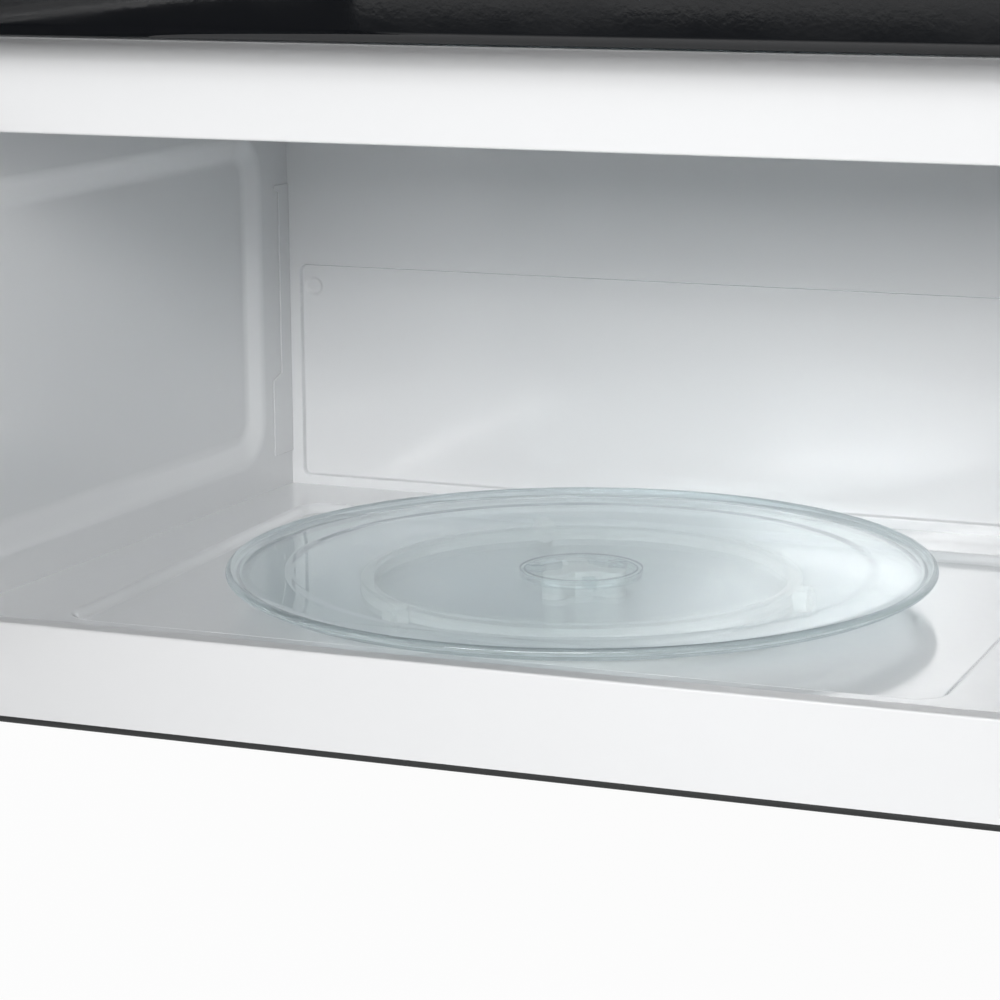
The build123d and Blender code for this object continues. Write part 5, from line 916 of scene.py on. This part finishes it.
@dataclass
class CavityBack:
    """The back wall, with its low pressed panel, two dimples and a flange down each side."""

    half_width: float = 219.0 * MM
    top_rise: float = 116.5 * MM
    bottom_rise: float = 4.5 * MM
    press: float = 2.5 * MM
    slope: float = 1.4 * MM
    bend: float = 1.8 * MM
    corner: float = 4.0 * MM
    dimple_radius: float = 5.4 * MM
    dimple_run: float = 2.4 * MM
    dimple_press: float = 1.1 * MM
    dimple_in: float = 7.2 * MM
    dimple_down: float = 12.0 * MM
    sheet: float = 1.0 * MM
    flange: float = 0.8 * MM
    upper_flange: float = 10.4 * MM
    lower_flange: float = 19.0 * MM
    flange_foot: float = 17.5 * MM
    flange_step: float = 57.5 * MM
    flange_top: float = 158.0 * MM
    flange_slant: float = 3.0 * MM
    flange_hook: float = 4.0 * MM
    flange_edge: float = 0.7 * MM

    def build(self, finish: bpy.types.Material) -> None:
        """Make the back wall and its flanges."""
        low, high = node_box("cavity_back_wall")
        floor_z = node_box("cavity_floor")[1].z
        bm = bmesh.new()
        pan_height = self.top_rise - self.bottom_rise
        centre = (0.0, (self.top_rise + self.bottom_rise) / 2)
        face = rounded_face(bm, centre, (2 * self.half_width, pan_height), self.corner, 8)
        rim = list(face.edges)
        bottom = press_face(bm, face, bend_steps(self.slope, self.press, self.bend, 4))
        self._dimple(bm, bottom)
        middle = (low.z + high.z) / 2 - floor_z
        half = ((high.x - low.x) / 2, (high.z - low.z) / 2)
        lay_sheet(bm, rim, corners_of((0.0, middle), half, 0.0))
        stand = upright(((low.x + high.x) / 2, low.y, floor_z))
        bmesh.ops.transform(bm, matrix=stand, verts=bm.verts[:])
        piece = sheet_object("cavity_back_enamelled", bm, self.sheet, finish)
        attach(piece, "case")
        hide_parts("cavity_back_wall")
        for side in Side:
            self._flange(side, floor_z, finish)

    def _dimple(self, bm: bmesh.types.BMesh, bottom: bmesh.types.BMFace) -> None:
        """Press a small round dimple in each upper corner of the panel."""
        edges = list(bottom.edges)
        depth = bottom.verts[0].co.z
        bm.faces.remove(bottom)
        for sx in (-1, 1):
            place = Matrix.Translation(
                (sx * (self.half_width - self.dimple_in), self.top_rise - self.dimple_down, depth)
            )
            made = bmesh.ops.create_circle(
                bm, cap_ends=True, radius=self.dimple_radius, segments=28, matrix=place
            )
            disc = made["verts"][0].link_faces[0]
            edges += list(disc.edges)
            if disc.normal.z < 0:
                disc.normal_flip()
            press_face(bm, disc, bend_steps(self.dimple_run, self.dimple_press, self.bend, 3))
        loop_between(bm, edges)

    def _flange(self, side: Side, floor_z: float, finish: bpy.types.Material) -> None:
        """Fold one side's flange forward over the side wall, wider near the floor.

        Args:
            side: which side.
            floor_z: the cavity floor.
            finish: the enamel.
        """
        hooked = self.upper_flange + self.flange_hook
        outline = (
            (0.0, self.flange_foot),
            (self.lower_flange, self.flange_foot),
            (self.lower_flange, self.flange_step),
            (self.upper_flange, self.flange_step + self.flange_slant),
            (self.upper_flange, self.flange_top - self.flange_hook),
            (hooked, self.flange_top - self.flange_hook / 2),
            (hooked, self.flange_top),
            (0.0, self.flange_top),
        )
        bm = bmesh.new()
        face = bm.faces.new([bm.verts.new((x, z, 0.0)) for x, z in outline])
        grown = bmesh.ops.extrude_face_region(bm, geom=[face])
        top = [v for v in grown["geom"] if isinstance(v, bmesh.types.BMVert)]
        bmesh.ops.translate(bm, verts=top, vec=(0.0, 0.0, self.flange))
        stand = CavityWall().stand(side, floor_z)
        bmesh.ops.transform(bm, matrix=stand, verts=bm.verts[:])
        bmesh.ops.recalc_face_normals(bm, faces=bm.faces[:])
        piece = new_mesh_object(f"back_flange_{side.name.lower()}", bm)
        add_bevel(piece, self.flange_edge)
        shade_smooth(piece, 50.0)
        dress(piece, finish)
        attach(piece, "case")


@dataclass
class CavityFloor:
    """The floor, pressed down into a shallow pan under the tray."""

    pan_width: float = 396.0 * MM
    pan_front: float = 42.0 * MM
    pan_back: float = 300.0 * MM
    press: float = 4.0 * MM
    slope: float = 6.0 * MM
    bend: float = 5.0 * MM
    corner: float = 15.0 * MM
    hole: float = 6.0 * MM
    sheet: float = 1.0 * MM

    def build(self, finish: bpy.types.Material) -> None:
        """Make the floor."""
        low, high = node_box("cavity_floor")
        back_low, back_high = node_box("cavity_back_wall")
        tray_low, tray_high = node_box("glass_tray")
        front_y = node_box("front_frame")[0].y
        centre_x = (low.x + high.x) / 2
        bm = bmesh.new()
        centre = (centre_x, front_y + (self.pan_front + self.pan_back) / 2)
        size = (self.pan_width, self.pan_back - self.pan_front)
        face = rounded_face(bm, centre, size, self.corner, 10)
        rim = list(face.edges)
        bottom = press_face(bm, face, bend_steps(self.slope, self.press, self.bend, 4))
        edges = list(bottom.edges)
        place = Matrix.Translation(
            (centre_x, (tray_low.y + tray_high.y) / 2, bottom.verts[0].co.z)
        )
        bm.faces.remove(bottom)
        made = bmesh.ops.create_circle(bm, radius=self.hole, segments=24, matrix=place)
        edges += list({e for v in made["verts"] for e in v.link_edges})
        loop_between(bm, edges)
        back_half = (back_high.x - back_low.x) / 2
        lay_sheet(bm, rim, (
            (centre_x - back_half, high.y, 0.0),
            (low.x, low.y, 0.0),
            (high.x, low.y, 0.0),
            (centre_x + back_half, high.y, 0.0),
        ))
        bmesh.ops.translate(bm, verts=bm.verts[:], vec=(0.0, 0.0, high.z))
        piece = sheet_object("cavity_floor_enamelled", bm, self.sheet, finish)
        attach(piece, "case")
        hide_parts("cavity_floor")


# ---------------------------------------------------------------- the turntable

@dataclass
class Turntable:
    """The glass tray, spun from its section, with its hub ring and keys."""

    radius: float = 160.0 * MM
    base_radius: float = 154.0 * MM
    height: float = 6.5 * MM
    glass: float = 3.6 * MM
    bead: float = 2.1 * MM
    step_radius: float = 132.0 * MM
    step: float = 0.3 * MM
    hub_outer: float = 28.0 * MM
    hub_inner: float = 25.0 * MM
    hub_depth: float = 4.0 * MM
    hub_taper: float = 0.2 * MM
    hub_round: float = 0.4 * MM
    bead_start: float = -70.0
    bead_sweep: float = 180.0
    bead_steps: int = 12
    key_size: tuple[float, float] = (7.6 * MM, 6.0 * MM)
    key_in: float = 3.4 * MM
    key_short: float = 0.3 * MM
    key_drop: float = 0.05 * MM
    key_round: float = 0.8 * MM
    turns: int = 144

    FOOT: ClassVar[tuple[tuple[float, float], ...]] = (
        (-1.0, 0.0), (0.4, 0.2), (1.6, 0.9), (2.6, 1.9),
    )
    SHOULDER: ClassVar[tuple[tuple[float, float], ...]] = (
        (0.3, 1.6), (2.2, 1.1), (5.0, 0.55), (8.0, 0.3),
    )
    STEP: ClassVar[tuple[tuple[float, float], ...]] = (
        (3.0, 1.0), (1.2, 0.85), (-1.2, 0.15), (-3.0, 0.0),
    )

    def section(self) -> list[tuple[float, float]]:
        """List the section's points, radius and height, from the underside round to the top.

        FOOT holds the rounded foot's points in mm, out from the base radius and up, SHOULDER those
        inside the bead, in mm in from it and up from the glass, and STEP the step's, in mm out
        from its radius and as a share of its height.
        """
        low = -self.hub_depth
        bend = self.hub_taper + self.hub_round
        points = [
            (0.0, 0.0),
            (self.hub_inner, 0.0),
            (self.hub_inner + self.hub_taper, low + self.hub_round),
            (self.hub_inner + bend, low),
            (self.hub_outer - bend, low),
            (self.hub_outer - self.hub_taper, low + self.hub_round),
            (self.hub_outer, 0.0),
        ]
        points += [(self.base_radius + out * MM, up * MM) for out, up in self.FOOT]
        centre = (self.radius - self.bead, self.height - self.bead)
        for i in range(self.bead_steps + 1):
            angle = math.radians(self.bead_start + self.bead_sweep * i / self.bead_steps)
            points.append((
                centre[0] + self.bead * math.cos(angle), centre[1] + self.bead * math.sin(angle)
            ))
        bead_in = centre[0] - self.bead
        points += [(bead_in - back * MM, self.glass + up * MM) for back, up in self.SHOULDER]
        points += [
            (self.step_radius + out * MM, self.glass + self.step * share)
            for out, share in self.STEP
        ]
        points.append((0.0, self.glass))
        return points

    def build(self, finish: bpy.types.Material) -> None:
        """Spin the tray and add its three keys."""
        low, high = node_box("glass_tray")
        middle = (low + high) / 2
        base_z = high.z - self.height
        bm = bmesh.new()
        verts = [bm.verts.new((r, 0.0, z)) for r, z in self.section()]
        edges = [bm.edges.new(pair) for pair in zip(verts, verts[1:])]
        bmesh.ops.spin(
            bm,
            geom=verts + edges,
            cent=(0.0, 0.0, 0.0),
            axis=(0.0, 0.0, 1.0),
            angle=math.tau,
            steps=self.turns,
            use_merge=True,
            use_duplicate=False,
        )
        bmesh.ops.remove_doubles(bm, verts=bm.verts[:], dist=1e-6)
        bmesh.ops.recalc_face_normals(bm, faces=bm.faces[:])
        place = Matrix.Translation((middle.x, middle.y, base_z))
        bmesh.ops.transform(bm, matrix=place, verts=bm.verts[:])
        piece = new_mesh_object("turntable_glass", bm)
        shade_smooth(piece, 60.0)
        dress(piece, finish)
        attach(piece, "tray")
        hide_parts("glass_tray")
        self._keys(middle, base_z, finish)

    @property
    def key_middle(self) -> float:
        """Give the height of the keys' middle, a little below the hub ring's."""
        return -self.hub_depth / 2 - self.key_drop

    def _keys(self, middle: Vector, base_z: float, finish: bpy.types.Material) -> None:
        """Add the keys inside the hub ring that the coupler drives.

        Args:
            middle: the tray's centre.
            base_z: the tray's underside.
            finish: the glass.
        """
        bm = bmesh.new()
        for n in range(3):
            turn = Matrix.Rotation(math.radians(60.0 + 120.0 * n), 4, "Z")
            size = Matrix.Diagonal((*self.key_size, self.hub_depth - self.key_short, 1.0))
            out = Matrix.Translation((self.hub_inner - self.key_in, 0.0, self.key_middle))
            bmesh.ops.create_cube(bm, size=1.0, matrix=turn @ out @ size)
        bmesh.ops.bevel(
            bm,
            geom=bm.edges[:],
            offset=self.key_round,
            segments=2,
            profile=0.5,
            affect="EDGES",
            material=-1,
        )
        bmesh.ops.translate(bm, verts=bm.verts[:], vec=(middle.x, middle.y, base_z))
        piece = new_mesh_object("turntable_keys", bm)
        shade_smooth(piece)
        dress(piece, finish)
        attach(piece, "tray")


# ---------------------------------------------------------------- the controls

@dataclass
class Keys:
    """The keypad's pads, with plain digits on the number keys and the rest left bare.

    The type size is the font's size for each unit of a digit's height.
    """

    columns: int = 3
    margin: float = 6.0 * MM
    gap: float = 4.0 * MM
    quick_rows: int = 2
    quick_height: float = 15.0 * MM
    number_height: float = 19.0 * MM
    corner: float = 2.4 * MM
    rise: float = 0.25 * MM
    edge: float = 0.2 * MM
    digit_height: float = 8.5 * MM
    digit_rise: float = 0.06 * MM
    type_size: float = 1.4
    digits: tuple[str, ...] = ("1", "2", "3", "4", "5", "6", "7", "8", "9", "", "0", "")

    def build(self, pad: bpy.types.Material, ink: bpy.types.Material) -> None:
        """Set out the keys from the top of the keypad down.

        Args:
            pad: the keys' plastic.
            ink: the digits' ink.
        """
        low, high = node_box("keypad")
        width = (high.x - low.x - 2 * self.margin - (self.columns - 1) * self.gap) / self.columns
        top = high.z - self.margin
        bm = bmesh.new()
        for row in range(self.quick_rows):
            z = top - self.quick_height / 2 - row * (self.quick_height + self.gap)
            for column in range(self.columns):
                x = low.x + self.margin + width / 2 + column * (width + self.gap)
                self._pad(bm, (x, low.y, z), (width, self.quick_height))
        top -= self.quick_rows * (self.quick_height + self.gap) + self.gap
        for n, digit in enumerate(self.digits):
            row, column = divmod(n, self.columns)
            x = low.x + self.margin + width / 2 + column * (width + self.gap)
            z = top - self.number_height / 2 - row * (self.number_height + self.gap)
            self._pad(bm, (x, low.y, z), (width, self.number_height))
            if digit:
                self._digit(digit, (x, low.y - self.rise, z), ink)
        piece = new_mesh_object("keypad_keys", bm)
        shade_smooth(piece)
        dress(piece, pad)
        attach(piece, "case")

    def _pad(
        self,
        into: bmesh.types.BMesh,
        place: tuple[float, float, float],
        size: tuple[float, float],
    ) -> None:
        """Add one pad with a softened edge.

        Args:
            into: the mesh that takes it.
            place: its centre, on the keypad's face.
            size: its width and height.
        """
        bm = bmesh.new()
        face = rounded_face(bm, (0.0, 0.0), size, self.corner, 5)
        grown = bmesh.ops.extrude_face_region(bm, geom=[face])
        top = [v for v in grown["geom"] if isinstance(v, bmesh.types.BMVert)]
        bmesh.ops.translate(bm, verts=top, vec=(0.0, 0.0, self.rise - self.edge / 2))
        cap = max(bm.faces, key=lambda f: (f.calc_center_median().z, f.calc_area()))
        bmesh.ops.inset_individual(bm, faces=[cap], thickness=self.edge, depth=self.edge / 2)
        bmesh.ops.recalc_face_normals(bm, faces=bm.faces[:])
        bmesh.ops.transform(bm, matrix=upright(place), verts=bm.verts[:])
        copy = bpy.data.meshes.new("pad")
        bm.to_mesh(copy)
        bm.free()
        into.from_mesh(copy)
        bpy.data.meshes.remove(copy)

    def _digit(
        self, digit: str, place: tuple[float, float, float], ink: bpy.types.Material
    ) -> None:
        """Print one digit on its key.

        Args:
            digit: the digit.
            place: its middle, on the key's face.
            ink: its finish.
        """
        curve = bpy.data.curves.new(f"digit_{digit}_outline", "FONT")
        curve.body = digit
        curve.size = self.digit_height * self.type_size
        curve.extrude = self.digit_rise / 2
        curve.align_x = "CENTER"
        curve.align_y = "CENTER"
        source = bpy.data.objects.new(f"digit_{digit}_outline", curve)
        mesh = bpy.data.meshes.new_from_object(source)
        bpy.data.objects.remove(source)
        mesh.transform(upright(place))
        piece = bpy.data.objects.new(f"digit_{digit}", mesh)
        bpy.context.scene.collection.objects.link(piece)
        dress(piece, ink)
        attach(piece, "case")


@dataclass
class Clock:
    """The display's four digits, each made of slim lit bars, and the colon between them."""

    height: float = 15.0 * MM
    width: float = 8.0 * MM
    stroke: float = 1.5 * MM
    pitch: float = 13.0 * MM
    colon_half: float = 4.0 * MM
    slant: float = 0.12
    proud: float = 0.05 * MM
    shown: str = "1200"
    dot_share: float = 0.6
    gap_share: float = 0.15

    BARS: ClassVar[dict[str, str]] = {"0": "abcdef", "1": "bc", "2": "abged"}

    def build(self, lit: bpy.types.Material) -> None:
        """Make the digits and the colon.

        Args:
            lit: the lit segments' finish.
        """
        low, high = node_box("display_window")
        middle = (low + high) / 2
        bm = bmesh.new()
        starts = [
            pitches * self.pitch + math.copysign(self.colon_half, pitches)
            for pitches in (-1.5, -0.5, 0.5, 1.5)
        ]
        for start, digit in zip(starts, self.shown):
            for bar in self.BARS[digit]:
                self._bar(bm, start, bar)
        for up in (-self.height / 4, self.height / 4):
            place = Matrix.Translation((self.slant * up, up, 0.0))
            bmesh.ops.create_circle(
                bm, cap_ends=True, radius=self.stroke * self.dot_share, segments=16, matrix=place
            )
        bmesh.ops.recalc_face_normals(bm, faces=bm.faces[:])
        for face in bm.faces:
            if face.normal.z < 0:
                face.normal_flip()
        stand = upright((middle.x, low.y - self.proud, middle.z))
        bmesh.ops.transform(bm, matrix=stand, verts=bm.verts[:])
        piece = new_mesh_object("clock_segments", bm)
        dress(piece, lit)
        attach(piece, "case")

    def _bar(self, bm: bmesh.types.BMesh, start: float, bar: str) -> None:
        """Add one bar of a digit, pointed at both ends.

        Args:
            bm: the mesh that takes it.
            start: the digit's middle.
            bar: its letter, a to g, from the top clockwise and then the middle.
        """
        half_w, half_h = self.width / 2, self.height / 2
        ends = {
            "a": ((-half_w, half_h), (half_w, half_h)),
            "b": ((half_w, half_h), (half_w, 0.0)),
            "c": ((half_w, 0.0), (half_w, -half_h)),
            "d": ((-half_w, -half_h), (half_w, -half_h)),
            "e": ((-half_w, 0.0), (-half_w, -half_h)),
            "f": ((-half_w, half_h), (-half_w, 0.0)),
            "g": ((-half_w, 0.0), (half_w, 0.0)),
        }[bar]
        a, b = Vector(ends[0]), Vector(ends[1])
        along = (b - a).normalized()
        side = Vector((-along.y, along.x)) * self.stroke / 2
        a += along * self.stroke * self.gap_share
        b -= along * self.stroke * self.gap_share
        tip = along * self.stroke / 2
        outline = (a, a + tip + side, b - tip + side, b, b - tip - side, a + tip - side)
        bm.faces.new([
            bm.verts.new((start + p.x + self.slant * p.y, p.y, 0.0)) for p in outline
        ])


# ---------------------------------------------------------------- the studio

OVEN_MOUTH = (-0.1, -0.2, 0.15)
OVEN_MIDDLE = (0.0, -0.2, 0.2)


@dataclass(frozen=True)
class Lamp:
    """One soft rectangular lamp, with its size in metres and its power in watts."""

    name: str
    place: tuple[float, float, float]
    target: tuple[float, float, float]
    size: tuple[float, float]
    power: float

    def hang(self) -> None:
        """Hang the lamp and point it at its target."""
        data = bpy.data.lights.new(self.name, "AREA")
        data.shape = "RECTANGLE"
        data.size, data.size_y = self.size
        data.energy = self.power
        lamp = bpy.data.objects.new(self.name, data)
        bpy.context.scene.collection.objects.link(lamp)
        aim = Vector(self.target) - Vector(self.place)
        turn = aim.to_track_quat("-Z", "Y").to_matrix().to_4x4()
        lamp.matrix_world = Matrix.Translation(self.place) @ turn


@dataclass
class Studio:
    """Camera, lamps, world and floor.

    Four soft keys and a fill hang in front, and weaker lamps round the side, top and back.
    """

    focal_pixels: float = 3188.79
    image_pixels: float = 1000.0
    sensor: float = 36.0
    place: tuple[float, float, float] = (0.38793, -1.49803, 0.37856)
    right: tuple[float, float, float] = (0.929333, 0.369185, -0.006501)
    down: tuple[float, float, float] = (0.071254, -0.196584, -0.977895)
    forward: tuple[float, float, float] = (-0.362302, 0.908327, -0.208998)
    far: float = 20.0
    ambient: float = 0.12
    ambient_colour: tuple[float, float, float] = (0.95, 0.975, 1.0)
    floor_drop: float = 0.42
    floor_size: float = 12.0
    floor_colour: tuple[float, float, float] = (0.93, 0.93, 0.935)
    floor_glow: float = 0.93
    lamps: tuple[Lamp, ...] = (
        Lamp("key_high", (0.0, -2.3, 1.4), OVEN_MOUTH, (1.8, 0.9), 5.0),
        Lamp("key_mid", (0.3, -2.3, 1.0), OVEN_MOUTH, (1.0, 0.4), 14.0),
        Lamp("key_low", (0.0, -2.4, 0.75), OVEN_MOUTH, (1.6, 0.4), 17.0),
        Lamp("key_right", (0.9, -2.2, 1.1), OVEN_MOUTH, (0.8, 0.5), 7.5),
        Lamp("fill_left", (-0.9, -2.3, 0.75), OVEN_MOUTH, (0.8, 0.4), 12.5),
        Lamp("side_right", (2.4, -0.5, 0.9), OVEN_MIDDLE, (1.2, 1.2), 12.0),
        Lamp("top", (0.0, 0.3, 2.4), OVEN_MIDDLE, (2.0, 1.2), 18.0),
        Lamp("back_left", (-2.0, 1.6, 1.2), OVEN_MIDDLE, (1.6, 1.2), 24.0),
    )

    def build(self) -> None:
        """Set up everything round the oven."""
        self._camera()
        self._world()
        self._floor()
        for lamp in self.lamps:
            lamp.hang()
        bpy.context.scene.view_settings.view_transform = "Standard"

    def _camera(self) -> None:
        """Stand the camera where the photograph was taken from."""
        data = bpy.data.cameras.new("camera")
        data.sensor_fit = "HORIZONTAL"
        data.sensor_width = self.sensor
        data.lens = self.sensor * self.focal_pixels / self.image_pixels
        data.clip_end = self.far
        camera = bpy.data.objects.new("camera", data)
        bpy.context.scene.collection.objects.link(camera)
        up = [-v for v in self.down]
        back = [-v for v in self.forward]
        axes = Matrix((self.right, up, back)).transposed()
        camera.matrix_world = Matrix.Translation(self.place) @ axes.to_4x4()
        bpy.context.scene.camera = camera

    def _world(self) -> None:
        """A white surround for the camera, mirrors and glass, and a softer one as light."""
        world = bpy.data.worlds.new("studio")
        bpy.context.scene.world = world
        world.use_nodes = True
        tree = world.node_tree
        background = tree.nodes["Background"]
        background.inputs["Color"].default_value = rgba(*self.ambient_colour)
        background.inputs["Strength"].default_value = self.ambient
        white = tree.nodes.new("ShaderNodeBackground")
        white.inputs["Color"].default_value = rgba(1.0, 1.0, 1.0)
        white.inputs["Strength"].default_value = 1.0
        path = tree.nodes.new("ShaderNodeLightPath")
        seen = path.outputs["Is Camera Ray"]
        for kind in ("Is Glossy Ray", "Is Transmission Ray"):
            seen = math_node(tree, "MAXIMUM", seen, path.outputs[kind])
        mix = tree.nodes.new("ShaderNodeMixShader")
        tree.links.new(seen, mix.inputs[0])
        tree.links.new(background.outputs[0], mix.inputs[1])
        tree.links.new(white.outputs[0], mix.inputs[2])
        tree.links.new(mix.outputs[0], tree.nodes["World Output"].inputs["Surface"])

    def _floor(self) -> None:
        """A pale floor under the oven, which keeps its soft shadow."""
        bm = bmesh.new()
        bmesh.ops.create_grid(bm, x_segments=1, y_segments=1, size=self.floor_size)
        bmesh.ops.translate(bm, verts=bm.verts[:], vec=(0.0, 0.0, -self.floor_drop))
        floor = new_mesh_object("floor", bm)
        shader = Shader("pale floor").plain(Roughness=0.9, Specular_IOR_Level=0.1)
        shader.tinted(self.floor_colour, amount=0.01, scale=2.0)
        tree = shader.tree
        path = tree.nodes.new("ShaderNodeLightPath")
        glow = tree.nodes.new("ShaderNodeEmission")
        mix = tree.nodes.new("ShaderNodeMixShader")
        share = math_node(tree, "MULTIPLY", path.outputs["Is Camera Ray"], self.floor_glow)
        tree.links.new(share, mix.inputs[0])
        tree.links.new(shader.bsdf.outputs[0], mix.inputs[1])
        tree.links.new(glow.outputs[0], mix.inputs[2])
        tree.links.new(mix.outputs[0], tree.nodes["Material Output"].inputs["Surface"])
        dress(floor, shader.material)


# ---------------------------------------------------------------- putting it together

class Oven:
    """The whole oven: CAD nodes with their finishes, and the pieces that replace some."""

    def __init__(self, finishes: Finishes) -> None:
        """Keep the finishes.

        Args:
            finishes: every material.
        """
        self.finishes = finishes

    def dress_nodes(self) -> None:
        """Give each CAD node its finish."""
        f = self.finishes
        plan: dict[bpy.types.Material, tuple[str, ...]] = {
            f.cavity: (
                "cavity_floor", "cavity_ceiling", "cavity_left_wall", "cavity_right_wall",
                "cavity_back_wall",
            ),
            f.frame: ("front_frame",),
            f.case: ("top_panel", "left_side_panel", "right_side_panel", "base_pan"),
            f.zinc: (
                "wall_plate", "back_panel", "component_shelf", "waveguide", "magnetron_yoke",
                "turntable_motor", "blower_housing", "exhaust_adaptor", "cavity_lamp",
                "damper_flap",
            ),
            f.gloss_black: ("vent_grille", "control_panel", "door_frame", "door_handle"),
            f.matt_black: ("fan_shroud", "interlock_switches", "choke_cover", "latch_hooks"),
            f.grey: ("fan_blade", "blower_wheels"),
            f.white: (
                "latch_board", "drive_coupler", "roller_ring", "roller_1", "roller_2", "roller_3",
            ),
            f.steel: (
                "transformer_core", "fan_motor", "blower_motor", "hinge_brackets",
                "grille_screws", "hinge_pins",
            ),
            f.aluminium: ("magnetron_fins", "capacitor"),
            f.wire: ("grease_filter_left", "grease_filter_right"),
            f.copper: ("magnetron_tube", "transformer_coils"),
            f.tray: ("glass_tray",),
            f.lens: ("cooktop_lamp_lens", "cooktop_lamp"),
            f.pane: ("display_window", "door_window"),
            f.screen: ("door_choke", "door_film"),
            f.felt: ("charcoal_filter",),
            f.rubber: ("cord_bushing",),
            f.laminate: ("control_board",),
            f.mica: ("waveguide_cover",),
            f.keypad: ("keypad",),
        }
        for finish, names in plan.items():
            for name in names:
                dress(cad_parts[name], finish)
        bare = set(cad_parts) - {name for names in plan.values() for name in names}
        LOG.info("nodes without a finish: %s", sorted(bare))

    def build(self) -> None:
        """Dress the nodes and make the new pieces."""
        f = self.finishes
        self.dress_nodes()
        for side in Side:
            CavityWall().build(side, f.cavity)
            LOG.info("built the %s wall", side.name.lower())
        CavityBack().build(f.cavity)
        CavityFloor().build(f.cavity)
        Turntable().build(f.tray)
        LOG.info("built the cavity and the turntable")
        Keys().build(f.key, f.legend)
        Clock().build(f.lit)
        LOG.info("built the keys and the clock")


def main() -> None:
    """Build the studio and the oven."""
    logging.basicConfig(level=logging.INFO, format="%(message)s")
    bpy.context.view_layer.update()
    Studio().build()
    Oven(Finishes()).build()


if __name__ == "__main__":
    main()
